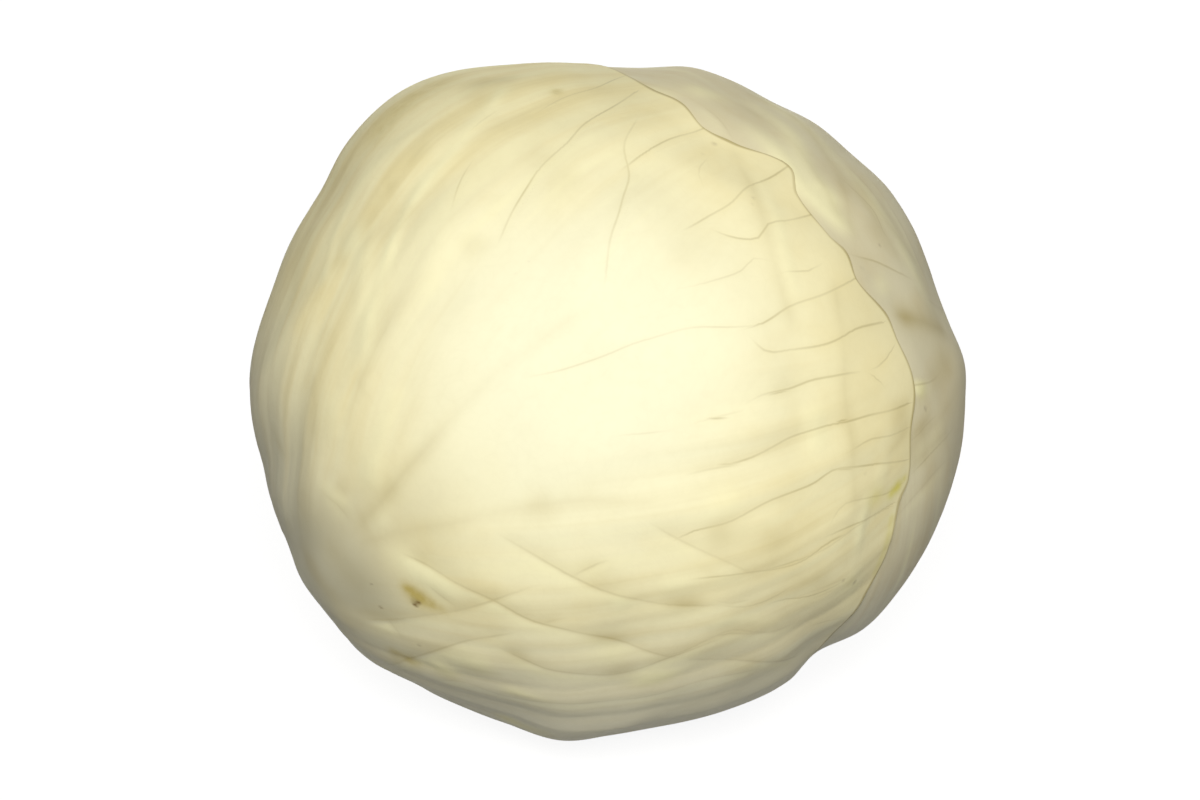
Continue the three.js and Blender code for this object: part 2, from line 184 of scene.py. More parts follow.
# Lines on the front leaf, as (kind, strength, points), each point (across, up the face).
FRONT_LINES = [
    ("band", 1.0, [(-63, -34.5), (-61.5, -31.5), (-55.5, -25), (-49, -17.5), (-42, -10),
                   (-37, -4.5)]),
    ("band", 0.35, [(-46, -14), (-42, -10), (-33, 0), (-25.5, 7), (-15, 15), (-2, 24)]),
    ("band", 0.8, [(-63, -36), (-59, -34.5), (-50.5, -32), (-40.5, -30), (-29.5, -27)]),
    ("band", 0.5, [(-36, -28.5), (-29.5, -27), (-18.5, -25), (-4, -23.5), (5, -24), (14, -24.5)]),
    ("band", 0.5, [(17, -32.5), (27.5, -28.5), (37.5, -24), (47.5, -24.5)]),
    ("vein", 0.6, [(35, -41), (47, -38), (55, -35), (62, -30.5), (71, -26)]),
    ("crease", 0.6, [(41, -50), (49, -47), (57.5, -44.5), (62, -43.5)]),
    ("crease", 0.6, [(24, -48), (29.5, -49), (36, -47.5)]),
    ("crease", 0.7, [(22, -58), (30.5, -57), (36, -57.5), (44.5, -56), (49, -54.5)]),
    ("crease", 0.8, [(17.5, -63.5), (33, -65), (50.5, -65)]),
    ("hair", 0.8, [(-21, 5), (-5, 9), (8, 14), (20, 17), (36, 18), (43, 22)]),
    ("vein", 1.0, [(30, 16), (36, 18), (43, 22), (53, 26), (61, 30)]),
    ("vein", 1.0, [(33, 15), (36, 12), (44, 12), (54, 14), (62, 18), (68, 19)]),
    ("vein", 0.9, [(32, -1), (36, 1), (44, 3), (49, 5), (56, 6), (63, 7)]),
    ("hair", 1.0, [(63, 7), (67, 9), (70, 13)]),
    ("hair", 0.9, [(63, 7), (66, 5), (68, 3)]),
    ("vein", 0.5, [(19, -6), (22, -5), (29, -3), (33, -2)]),
    ("hair", 0.5, [(-1, -9), (8, -8), (17, -7)]),
    ("vein", 1.0, [(26, -16), (33, -14), (38, -12), (44, -9), (51, -7), (59, -5), (68, -3),
                   (74, -1)]),
    ("vein", 0.7, [(17, -18), (22, -17), (27, -16), (33, -15)]),
    ("hair", 1.0, [(56, -14), (59, -12), (63, -10), (68, -9), (74, -7)]),
    ("vein", 1.0, [(14, -34), (20, -31), (28, -29), (38, -24), (44, -22), (50, -20), (55, -17),
                   (63, -16), (74, -15)]),
    ("hair", 1.0, [(53, -32), (57, -26), (63, -24), (70, -23), (73, -21)]),
    ("vein", 0.8, [(50, -34), (54, -33), (62, -30), (70, -27)]),
    ("vein", 0.8, [(18, -43), (25, -42), (33, -41), (46, -39), (53, -35), (61, -32)]),
    ("vein", 0.5, [(25, -49), (32, -50), (40, -48), (46, -44)]),
    ("vein", 0.7, [(36, -51), (41, -49), (49, -48), (60, -44)]),
    ("crease", 0.7, [(12, -63), (17, -62), (25, -58), (30, -56), (36, -57), (42, -57),
                     (48, -54)]),
    ("hair", 0.8, [(50, -57), (54, -56), (60, -55)]),
    ("vein", 0.9, [(7, 78), (2, 74), (-6, 68), (-10, 63), (-17, 56), (-20, 51), (-25, 41),
                   (-27, 36)]),
    ("vein", 0.7, [(4, 83), (-5, 78), (-11, 76), (-19, 71)]),
    ("vein", 0.6, [(8, 71), (4, 62), (5, 54), (3, 47), (1, 40), (-1, 26)]),
    ("vein", 0.9, [(24, 68), (14, 64), (8, 60), (2, 55)]),
    ("vein", 1.1, [(46, 59), (40, 55), (34, 52), (30, 48), (23, 44), (17, 40)]),
    ("vein", 0.9, [(53, 47), (44, 44), (39, 43), (36, 39), (31, 39), (24, 42)]),
    ("hair", 0.7, [(15, 26), (20, 27), (27, 29), (32, 31), (35, 34), (40, 33)]),
    ("hair", 0.9, [(40, 30), (43, 31), (48, 31), (53, 34)]),
    ("hair", 0.6, [(25, 61), (22, 56), (24, 50)]),
    ("vein", 0.5, [(-27, 73), (-31, 70), (-35, 66)]),
    ("vein", 0.5, [(-32, 61), (-36, 54), (-38, 44)]),
    ("crease", 1.3, [(-52, -37), (-47.5, -39), (-43, -41), (-35, -45), (-26.5, -48.5),
                     (-18.5, -53), (-9.5, -55.5), (1, -58.5), (12, -62.5), (18.5, -63.5)]),
    ("crease", 1.0, [(-27.5, -31), (-18, -36.5), (-9, -41.5), (-2, -45), (6, -47.5),
                     (12, -49), (22, -49.5), (29, -49.5)]),
    ("crease", 0.9, [(-64, -55), (-54, -55), (-43.5, -53), (-37.5, -51.5), (-29, -48.5),
                     (-22.5, -46), (-15.5, -43.5)]),
    ("crease", 0.9, [(-9, -42), (-2, -38.5), (1, -37.5)]),
    ("crease", 1.1, [(-58, -68), (-51.5, -66), (-44.5, -63), (-35.5, -59.5), (-28, -57.5),
                     (-21.5, -56)]),
    ("crease", 1.1, [(-29, -59), (-23, -62), (-16, -65.5), (-9.5, -67), (0, -68),
                     (8, -66.5), (14.5, -63.5), (20.5, -61), (29, -57.5)]),
    ("crease", 0.6, [(-45, -70.5), (-36, -71), (-26.5, -74), (-12.5, -75.5), (-2, -75.5),
                     (8, -74.5), (24, -70), (40, -67)]),
    ("crease", 0.5, [(-16.5, -54), (-15, -53.5), (-11.5, -52.5), (-8, -52)]),
    ("crease", 0.6, [(7, -27.5), (14, -31.5), (22, -35.5), (28.5, -38.5), (37, -42.5)]),
    ("crease", 0.6, [(-46, -44), (-42, -47), (-36, -51)]),
    ("crease", 0.5, [(-56, -54), (-50, -60)]),
    ("crease", 0.6, [(-71, -22), (-66, -26), (-63, -31)]),
    ("ridge", 1.3, [(-23.5, 80.5), (-29.5, 73.5), (-35.5, 66), (-40, 59.5), (-45, 54.5),
                    (-48, 49.5), (-51, 42.5), (-53.5, 35.5), (-56, 28), (-58, 20.5),
                    (-59, 13.5)]),
    ("ridge", 0.7, [(-44.5, 70), (-52, 65), (-58.5, 59), (-63.5, 52.5), (-66, 47), (-69, 38.5),
                    (-70.5, 31), (-72, 25)]),
    ("ridge", 0.6, [(-49.5, 6.5), (-50.5, 0), (-53, -6), (-55, -12), (-56.5, -19.5)]),
    ("ridge", 0.5, [(-73, 18.5), (-74.5, 11)]),
    ("fold", 0.5, [(-38.5, 48.5), (-40.5, 38.5), (-43, 29), (-44, 21.5)]),
    ("fold", 0.4, [(-4.5, 69), (-8, 61), (-11.5, 50.5), (-14, 40.5)]),
    ("ridge", 0.5, [(-71, -22.5), (-66, -24.5), (-61.5, -27)]),
    ("tan_and_painted_shade", 0.4, [(-43.5, 50), (-48, 41.5), (-50.5, 33.5)]),
    ("band", 0.6, [(-58, 48.5), (-59.5, 41.5), (-60, 34), (-61.5, 28)]),
    ("tan_and_painted_shade", 0.9, [(-51.5, 55), (-54, 52.5), (-56, 51)]),
    ("band", 0.6, [(-73.5, 9.5), (-72, 0), (-71.5, -10), (-71, -18.5)]),
    ("band", 0.7, [(-61.5, 8), (-58.5, 2.5), (-55.5, -2)]),
    ("band", 0.6, [(-42, 67.5), (-47, 62), (-51, 56.5)]),
    ("tan_and_painted_shade", 0.8, [(-31, 42), (-32, 36.5), (-30.5, 31.5)]),
    ("tan_and_painted_shade", 0.5, [(-36, 62.5), (-29, 57.5), (-23.5, 56.5)]),
    ("tan_and_painted_shade", 0.7, [(-23.5, 56.5), (-18, 59.5), (-13, 63)]),
    ("tan_and_painted_shade", 0.6, [(-8, 58.5), (-13, 45.5), (-15, 38)]),
    ("tan_and_painted_shade", 1, [(-53.5, 74.5), (-62, 68.5), (-67, 61), (-72.5, 52), (-75.5, 44)]),
    ("tan_and_painted_shade", 1, [(-72.5, 52), (-75.5, 44), (-78.5, 36), (-79.5, 28), (-81.5, 19)]),
    ("band", 0.7, [(-86.5, -4.5), (-83.5, -11.5), (-80, -17.5)]),
    ("band", 0.6, [(-67, -19), (-63, -23.5)]),
    ("tan_and_painted_shade", 0.8, [(-54.5, -25), (-52, -22), (-49.5, -19.5)]),
    ("tan_and_painted_shade", 0.6, [(-61.5, -31), (-58.5, -30)]),
    ("tan_and_painted_shade", 0.7, [(-21, -24), (-15, -25.5), (-10.5, -24.5)]),
    ("ridge", 0.9, [(3, -72), (13, -69), (22.5, -65)]),
    ("fold", 0.7, [(-44.5, -63.5), (-34.5, -65.5), (-24.5, -67.5)]),
    ("fold", 0.7, [(10, -44.5), (22, -43.5), (34.5, -42)]),
    ("fold", 0.8, [(17, -29), (25, -26), (34, -21)]),
    ("ridge", 0.7, [(20, -55.5), (29.5, -53.5), (45, -55)]),
    ("tan_and_painted_shade", 1, [(-7, -40.5), (1.5, -42.5), (9, -45.5)]),
    ("tan_and_painted_shade", 0.5, [(-10.5, -51), (-2, -54.5), (7.5, -58.5)]),
    ("tan_and_painted_shade", 0.6, [(-30, -59.5), (-24, -61.5), (-18, -64)]),
    ("tan_and_painted_shade", 1.9, [(20, -33), (28, -32), (36, -32), (45, -34.5)]),
    ("tan_and_painted_shade", 0.5, [(-55.5, -64), (-51.5, -66)]),
    ("tan_and_painted_shade", 0.7, [(-3, -67), (9, -67)]),
    ("tan_and_painted_shade", 0.8, [(10.5, -49), (17.5, -49.5), (26, -49.5)]),
    ("ridge", 0.6, [(36, 58), (41, 45), (43.5, 31.5), (46.5, 19.5)]),
    ("band", 0.7, [(32, 61), (37.5, 45), (40, 31.5), (43.5, 19.5), (44, 13.5)]),
    ("band", 0.8, [(54, 32), (56.5, 17), (57.5, 2.5), (59.5, -12.5), (60, -29.5)]),
    ("tan_and_painted_shade", 0.4, [(55.5, 5.5), (57, -2.5), (59.5, -9.5), (60.5, -17.5)]),
    ("tan_and_painted_shade", 0.6, [(42, 13), (42.5, 5), (41, -3.5)]),
    ("tan_and_painted_shade", 0.3, [(13, 40.5), (17, 34), (19.5, 27.5)]),
    ("vein", 1, [(22.5, -4.5), (29, -4)]),
    ("vein", 1, [(25.5, -15.5), (32, -15)]),
    ("vein", 0.9, [(37, 1), (44, 2.5)]),
    ("vein", 1.1, [(55, -5.5), (59, -4.5)]),
    ("vein", 1.1, [(53.5, -17), (61, -16.5)]),
    ("band", 0.7, [(66.5, -17), (70, -12), (73.5, -8)]),
    ("crease", 0.5, [(47.5, -49.5), (55, -47), (61, -45)]),
    ("fold", 1.4, [(-58, -37.5), (-51, -39.5), (-44.5, -43.5), (-38.5, -47), (-33, -49)]),
    ("band", 0.7, [(-66.5, -53.5), (-57, -53.5), (-47.5, -53), (-38.5, -51.5), (-30, -48)]),
    ("ridge", 1.1, [(-29.5, -71), (-22, -73), (-15.5, -74.5), (-11.5, -75.5)]),
    ("fold", 1.0, [(-12, -62.5), (-2, -63), (8, -62.5)]),
    ("fold", 0.9, [(1, -71.5), (8, -69.5), (18, -66)]),
    ("band", 0.8, [(-5.5, -67.5), (3, -67), (10.5, -65.5)]),
    ("band", 0.9, [(-26.5, -59.5), (-21.5, -62), (-18, -63.5)]),
    ("fold", 0.8, [(-39.5, -63.5), (-31.5, -64.5), (-25.5, -65)]),
    ("fold", 1.4, [(-47, -64.5), (-41, -67.5), (-35, -69)]),
    ("band", 0.7, [(-38, -66), (-30.5, -67), (-24.5, -67)]),
    ("band", 0.8, [(-11.5, -55.5), (-5.5, -56.5), (-1, -58.5), (7.5, -59.5)]),
    ("fold", 0.8, [(-2, -47.5), (3, -48), (7.5, -49)]),
    ("fold", 0.7, [(10, -45), (17, -44), (24.5, -43)]),
    ("band", 0.8, [(9, -49), (17.5, -49), (26, -49)]),
    ("fold", 1.4, [(-60, 42), (-60.5, 30), (-59.5, 17), (-57, 6)]),
    ("fold", 1.0, [(-66, 4), (-67, -5), (-67.5, -12)]),
    ("fold", 0.6, [(-51.5, 3.5), (-51, -2)]),
    ("fold", 0.7, [(-69, 35.5), (-71, 27.5)]),
    ("tan_and_painted_shade", 0.6, [(-71, 20), (-70, 13.5), (-70.5, 7.5)]),
    ("tan_and_painted_shade", 0.7, [(-73, 1), (-72, -5), (-71.5, -11)]),
    ("fold", 0.6, [(-58, -25.5), (-56, -29), (-53, -31.5)]),
    ("ridge", 0.5, [(-72.5, -20), (-67, -22), (-62.5, -25)]),
    ("band", 0.8, [(-63, -34.5), (-61.5, -31.5), (-55.5, -25)]),
    ("tan_and_painted_shade", 1.6, [(-78.5, -33), (-74.5, -41), (-68, -51), (-60.5, -60)]),
    ("tan_and_painted_shade", 1.2, [(-70, -31), (-66, -41), (-59.5, -51)]),
    ("tan_and_painted_shade", 1.8, [(27, -68.5), (33, -67.5), (40, -65.5)]),
    ("tan_and_painted_shade", 1.6, [(-41, 78.5), (-30, 80.5), (-18, 81.5)]),
    ("tan_and_painted_shade", 1.2, [(-40, 74), (-30, 76.5), (-20, 77)]),
    ("fold", 1.5, [(-57, -23), (-57.5, -16), (-56.5, -10)]),
    ("fold", 1.4, [(-59.5, 48), (-63.5, 40), (-66, 32)]),
    ("fold", 1.4, [(-32, -80), (-23, -83.5), (-12, -85.5)]),
    ("fold", 1.8, [(49, 1), (50.5, -7.5), (51, -16)]),
    ("ridge", 1, [(65, -20), (62.5, -31), (61.5, -41)]),
    ("tan_and_painted_shade", 1.6, [(71, 4), (72, -6), (71.5, -15)]),
    ("tan_and_painted_shade", 1.3, [(40, -41.5), (48, -43), (56, -45)]),
    ("fold", 1, [(65, -18), (70, -18)]),
    ("fold", 1, [(57.5, -42), (61, -46.5), (61.5, -51)]),
]

# The same for the part of the right-hand leaf that shows beside it.
RIGHT_LINES = [
    ("fold", 0.9, [(34, 78), (44, 70), (51, 57), (58, 45), (62, 39)]),
    ("fold", 0.7, [(36, 81), (50, 71), (62, 58), (71, 45), (78, 33), (84, 22)]),
    ("band", 0.7, [(30, 77), (41, 70), (49, 62), (56, 50), (60, 40)]),
    ("band", 0.8, [(30, 82), (44, 75), (55, 64), (64, 52), (70, 42), (76, 31)]),
    ("hair", 1.0, [(57, 60), (60, 56), (64, 52), (68, 47), (70, 42), (73, 38)]),
    ("crease", 0.7, [(60, 62), (67, 55), (72, 47), (77, 38)]),
    ("crease", 0.5, [(66, 60), (73, 50), (79, 38), (84, 28)]),
    ("vein", 0.9, [(58, 37), (62, 36), (67, 35), (72, 33), (78, 30)]),
    ("vein", 0.8, [(72, 3), (78, 4), (82, 5), (85, 8)]),
    ("hair", 1.0, [(74, -11), (76, -10), (80, -6), (84, -3)]),
    ("band", 0.6, [(73, -14), (79, -9), (84, -4), (90, 4)]),
    ("vein", 0.6, [(75, -20), (78, -17), (83, -12), (89, -6)]),
    ("fold", 0.6, [(74, -16), (80, -12), (86, -6)]),
    ("crease", 0.5, [(70, -33), (75, -27), (81, -20), (87, -14)]),
    ("crease", 0.6, [(21, 76), (28, 70), (33, 63)]),
    ("crease", 0.5, [(80, 26), (85, 24), (90, 24)]),
    ("fold", 1.3, [(32, 70.5), (40.5, 64.5), (47.5, 54.5), (56, 46.5), (63, 40)]),
    ("band", 1, [(57, 61.5), (60, 51.5), (62.5, 41.5), (66, 38)]),
    ("band", 0.9, [(61, 59), (68.5, 48.5), (75.5, 40), (81.5, 32)]),
    ("band", 0.7, [(66.5, 56.5), (72.5, 47), (77.5, 38.5)]),
    ("tan_and_painted_shade", 1.5, [(68.5, 21), (74, 21), (80, 20.5), (87, 19)]),
    ("band", 2.2, [(70, 21.5), (76, 20.5), (82, 19), (88, 17)]),
    ("tan_and_painted_shade", 2.4, [(80, 3), (83.5, 7), (87.5, 12.5)]),
    ("fold", 3, [(77.5, 6), (77.5, 0)]),
    ("fold", 0.9, [(16, 79), (24, 78), (34, 75)]),
    ("fold", 1.2, [(6, 80), (14, 77.5), (20, 76)]),
    ("fold", 1, [(51, 57), (55.5, 52), (59, 46.5)]),
    ("fold", 0.6, [(66, 33), (69, 29), (71.5, 25)]),
    ("tan_and_painted_shade", 1.7, [(64, 47), (69, 41), (73, 34)]),
    ("tan_and_painted_shade", 1.6, [(75, -5), (76, -12), (74, -18)]),
    ("band", 1.4, [(74, -10), (78, -7), (82.5, -1)]),
    ("band", 1.2, [(75, -17.5), (81, -12), (87, -6.5)]),
]

# ------------------------------------------------------------------ directions and curves


def unit(vectors):
    """The same directions at length one."""
    vectors = np.asarray(vectors, float)
    return vectors / np.linalg.norm(vectors, axis=-1, keepdims=True)


def smooth_step(value, low, high):
    """Nought up to low, one from high on, and 3t^2 - 2t^3 of the share t of the way between."""
    share = np.clip((value - low) / (high - low), 0, 1)
    return share * share * (3 - 2 * share)


def arc(ways, pole):
    """The angle between directions and one pole."""
    return np.arccos(np.clip(ways @ pole, -1, 1))


def cubic(late, span, start, end, slope_in, slope_out):
    """A cubic at the share late of its span, from the values and slopes at its ends."""
    early = 1 - late
    return (early * early * (1 + 2 * late) * start + late * late * (1 + 2 * early) * end
            + early * late * span * (early * slope_in - late * slope_out))


def ring_curve(points):
    """A smooth closed curve through (degrees, value) points: a cubic on each stretch, whose
    slope at a point is that of the line between the point's two neighbours."""
    angles = np.array([angle for angle, _ in points], float)
    values = np.array([value for _, value in points], float)
    far_angles = np.concatenate([angles[-1:] - 360, angles, angles[:2] + 360])
    far_values = np.concatenate([values[-1:], values, values[:2]])
    slopes = (far_values[2:] - far_values[:-2]) / (far_angles[2:] - far_angles[:-2])
    knots, heights = far_angles[1:-1], far_values[1:-1]

    def curve(radians):
        angle = angles[0] + (np.degrees(radians) - angles[0]) % 360
        start = np.clip(np.searchsorted(knots, angle, side="right") - 1, 0, len(knots) - 2)
        span = knots[start + 1] - knots[start]
        late = (angle - knots[start]) / span
        return cubic(late, span, heights[start], heights[start + 1],
                     slopes[start], slopes[(start + 1) % len(slopes)])

    return curve


def broad_curve(curve, waves):
    """The same closed curve with only its first few waves kept."""
    angles = np.arange(CURVE_SAMPLES) * (2 * math.pi / CURVE_SAMPLES)
    values = curve(angles)
    terms = []
    for wave in range(waves + 1):
        share = (1 if wave == 0 else 2) / CURVE_SAMPLES
        terms.append((wave, share * (values * np.cos(wave * angles)).sum(),
                      share * (values * np.sin(wave * angles)).sum()))

    def broad(radians):
        return sum(c * np.cos(wave * radians) + s * np.sin(wave * radians)
                   for wave, c, s in terms)

    return broad


def ripples(points, length, seed):
    """Smooth noise of about unit size: the sum of plane waves in random directions, each
    within a third of the given length."""
    dice = np.random.default_rng(seed)
    waves = unit(dice.normal(size=(PLANE_WAVES, 3))) * (2 * math.pi / length)
    waves /= dice.uniform(0.75, 1.35, size=(PLANE_WAVES, 1))
    starts = dice.uniform(0, 2 * math.pi, PLANE_WAVES)
    return np.cos(points @ waves.T + starts).sum(axis=1) * math.sqrt(2 / PLANE_WAVES)


STEM_WAY = unit(STEM_POINTS)
TIP_WAY = -STEM_WAY
FIRST_WAY = unit(FIRST_LEAF_FACES)
FIRST_WAY = unit(FIRST_WAY - STEM_WAY * (FIRST_WAY @ STEM_WAY))
SECOND_WAY = np.cross(TIP_WAY, FIRST_WAY)
DOWN = np.array([0, -math.cos(FACE_RISE), -math.sin(FACE_RISE)])

outline = ring_curve(HEAD_OUTLINE)
broad_outline = broad_curve(outline, 3)


def head_radius(ways):
    """An ellipsoid on the broad outline, with the outline's dents added near its rim and the
    stem's dimple, a bell curve, taken out."""
    out = np.hypot(ways[..., 0], ways[..., 1])
    angle = np.arctan2(ways[..., 1], ways[..., 0])
    round_part = 1 / np.hypot(out / broad_outline(angle), ways[..., 2] / HALF_DEPTH)
    dents = (outline(angle) - broad_outline(angle)) * out ** RIM_HOLD
    from_stem = arc(ways, STEM_WAY) * MEAN_RADIUS
    return round_part + dents - DIMPLE_DEPTH * np.exp(-(from_stem / DIMPLE_RADIUS) ** 2)


def face_way(x, y):
    """The direction of the point of the head's face that lies at (across, up the face)."""
    flat = np.hypot(x, y)
    height = math.sqrt(max(HALF_DEPTH ** 2 * (1 - (flat / FACE_RADIUS) ** 2), 1))
    for _ in range(FACE_ROUNDS):
        way = unit([x, y, height])
        height = 0.5 * height + 0.5 * math.sqrt(max(head_radius(way) ** 2 - flat ** 2, 1))
    return unit([x, y, height])


# ------------------------------------------------------------------ one leaf's form


class LeafForm:
    """Where one leaf lies: its middle, the way to its tip and to its side, and its edge."""

    def __init__(self, turn, lean, edge):
        turn, lean = math.radians(turn), math.radians(lean)
        outward = FIRST_WAY * math.cos(turn) + SECOND_WAY * math.sin(turn)
        self.lean = lean
        self.middle = STEM_WAY * math.cos(lean) + outward * math.sin(lean)
        self.tip = unit(TIP_WAY - self.middle * (TIP_WAY @ self.middle))
        self.side = np.cross(self.tip, self.middle)
        self.rib = unit(self.middle - STEM_WAY * (STEM_WAY @ self.middle))
        self.edge = ring_curve(edge)
        self.broad_edge = broad_curve(self.edge, 8)

    def ways(self, angle, out):
        """Directions at an angle round the leaf's middle from its tip, and so far out."""
        sideways = (np.cos(angle)[:, None] * self.tip + np.sin(angle)[:, None] * self.side)
        return np.cos(out)[:, None] * self.middle + np.sin(out)[:, None] * sideways

    def laid_flat(self, points):
        """Directions of points on the leaf laid flat round its middle, each point given as
        (towards its tip, towards its side)."""
        out = np.hypot(points[:, 0], points[:, 1]) / MEAN_RADIUS
        return self.ways(np.arctan2(points[:, 1], points[:, 0]), out)

    def fan(self, ways):
        """Which of the slanting lines from the rib a point lies on, and how plainly they show
        there. A line keeps its slant to the way to the stem, so that along it the turn round
        the stem less SIDE_VEIN_SLANT ln tan(a / 2) stays the same, a being the angle from the
        stem. The lines fade at the rib, by the stem and past the tip."""
        reach = arc(ways, STEM_WAY)
        turn = np.arctan2(ways @ self.side, ways @ self.rib)
        line = np.abs(turn) - SIDE_VEIN_SLANT * np.log(np.tan(np.clip(reach / 2, 0.1, 1.5)))
        plain = smooth_step(np.abs(turn), *FAN_BY_RIB) * smooth_step(reach, *FAN_BY_STEM)
        plain = plain * (1 - smooth_step(reach, *FAN_PAST_TIP))
        return line + SIDE_OFFSET * (turn > 0), plain

    def outside(self, ways):
        """How far directions lie outside the edge, in millimetres along the head."""
        angle = np.arctan2(ways @ self.side, ways @ self.tip)
        edge = self.edge(angle)
        step = math.radians(1)
        slope = (self.edge(angle + step) - self.edge(angle - step)) / 2
        slant = slope / np.sin(np.radians(edge))
        beyond = arc(ways, self.middle) - np.radians(edge)
        return beyond * MEAN_RADIUS / np.hypot(1, slant)

    def thickness(self, ways, outside):
        """The blade, thinner towards its edge, with the rib, a bell curve across, which is
        highest at the stem and dies away along the leaf."""
        blade = MARGIN_THICKNESS + (BLADE - MARGIN_THICKNESS) * smooth_step(
            -outside, 0, MARGIN_TAPER)
        along = arc(ways, STEM_WAY) * MEAN_RADIUS
        aside = np.arcsin(np.clip(ways @ self.side, -1, 1)) * MEAN_RADIUS
        outward = np.arcsin(np.clip(ways @ self.rib, -1, 1)) * MEAN_RADIUS
        fade = 1 - smooth_step(along, 0, RIB_LENGTH)
        half_width = RIB_TIP_HALF_WIDTH + (RIB_HALF_WIDTH - RIB_TIP_HALF_WIDTH) * fade
        rise = np.exp(-np.maximum(along - STEM_RADIUS, 0) / RIB_FADE)
        rise = rise * smooth_step(outward, 0, STEM_RADIUS)
        return blade + RIB_HEIGHT * rise * np.exp(-(aside / half_width) ** 2)


forms = {name: LeafForm(*leaf) for name, leaf in LEAVES.items()}


def undulation(ways):
    """The head's own soft unevenness, which every layer follows: least where it rests and
    round the rim of its face, whose outline is given."""
    skin = ways * MEAN_RADIUS
    swell = (BROAD_SWELL[0] * ripples(skin, BROAD_SWELL[1], seed=3)
             + SMALL_SWELL[0] * ripples(skin, SMALL_SWELL[1], seed=5))
    at_rim = np.hypot(ways[:, 0], ways[:, 1]) ** RIM_HOLD
    from_floor = arc(ways, DOWN) * MEAN_RADIUS
    return swell * (1 - SWELL_LOSS * at_rim) * smooth_step(from_floor, *SWELL_FROM_FLOOR)


def fan_ridges(ways, line, plain, seed):
    """Soft ridges along the slanting lines from a leaf's rib: smooth noise across the lines
    that changes slowly along them, and less round the rim of the head's face."""
    drawn_out = FAN_ALONG * ways
    drawn_out[:, 0] += FAN_ACROSS * line
    soft = (FINE_FAN[0] * ripples(drawn_out, FINE_FAN[1], seed)
            + BROAD_FAN[0] * ripples(drawn_out, BROAD_FAN[1], seed + 1))
    return soft * plain * (1 - FAN_LOSS * np.hypot(ways[:, 0], ways[:, 1]) ** RIM_HOLD)


def layers_at(ways, wanted):
    """Radii of the wanted leaf's underside and top, of the heart and of the whole stack, in
    each direction. The heart gives way under the leaves, and each leaf starts a gap above
    what lies under it and comes down softly outside that leaf's edge."""
    settled = 0
    outsides = {name: form.outside(ways) for name, form in forms.items()}
    for outside in outsides.values():
        settled = settled + (1 - smooth_step(outside, -SETTLE, SETTLE)) * (BLADE + GAP)
    top = head_radius(ways) - settled
    layers = {"heart": top}
    for name in reversed(forms):
        thickness = forms[name].thickness(ways, outsides[name])
        if name == wanted:
            layers["under"] = top + GAP
            layers["top"] = top + GAP + thickness
        cover = 1 - smooth_step(outsides[name], *DRAPE)
        top = top + cover * (thickness + GAP)
    layers["outer"] = top
    return layers


across = Vector((1, 0, 0))
up_face = Vector((0, math.sin(FACE_RISE), math.cos(FACE_RISE)))
out_of_face = across.cross(up_face)
head_middle = Vector((0, 0, MIDDLE_HEIGHT * METRES))
head_turn = np.array([across, up_face, out_of_face])


def in_scene(points):
    """Points in the head's own frame, put where they belong in the scene, in metres."""
    return (points @ head_turn) * METRES + np.array(head_middle)


def press(ways, outer):
    """How far the layers are pressed in where the head rests, and where it does: the excess
    over a flat plane, with a soft bend at its edge. Directions far from straight down count
    as well clear of that plane."""
    steep = ways @ DOWN
    excess = np.where(steep > 0.5, outer - MIDDLE_HEIGHT / np.maximum(steep, 0.5), -10)
    bend = (np.clip(excess, -RESTING_BLEND, RESTING_BLEND) + RESTING_BLEND) ** 2
    shift = np.where(excess > RESTING_BLEND, excess, bend / (4 * RESTING_BLEND))
    return shift, smooth_step(excess, -RESTING_FADE, 0)


# ------------------------------------------------------------------ lines drawn on a leaf

LINE_GROUPS = 4          # lines that come close to each other are kept in separate groups
GROUP_SPACE = 5.5        # lines of one group stay this far apart
PATH_STEP = 2.5
FINE_REACH = 2.4         # a fine line's distance is known this far to each side
END_TAPER = 9            # a line fades over this far at its ends
EDGE_REACH = 5           # but not at an end that is this near the leaf's edge
FAR = 9.0                # the distance kept where there is no fine line
VEIN_STEP = 7            # length of one stretch of a vein
VEIN_CLEARANCE = 1.5     # a vein ends this far inside the edge
LATERALS = 10            # veins that leave the rib on each side
HIDDEN_VEINS = 11        # veins of the leaf underneath that press through


def smooth_path(ways):
    """Points a step apart on a smooth curve through directions, on the head's mean sphere: a
    cubic on each stretch, its slope at a point set by the point's two neighbours."""
    knots = unit(ways) * MEAN_RADIUS
    if len(knots) == 2:
        knots = np.array([knots[0], (knots[0] + knots[1]) / 2, knots[1]])
    spans = np.linalg.norm(np.diff(knots, axis=0), axis=1)
    at = np.concatenate([[0], np.cumsum(spans)])
    slopes = np.gradient(knots, at, axis=0)
    places = np.linspace(0, at[-1], max(4, int(at[-1] / PATH_STEP)))
    start = np.clip(np.searchsorted(at, places, side="right") - 1, 0, len(spans) - 1)
    span = spans[start][:, None]
    late = ((places - at[start]) / spans[start])[:, None]
    points = cubic(late, span, knots[start], knots[start + 1], slopes[start], slopes[start + 1])
    return unit(points) * MEAN_RADIUS


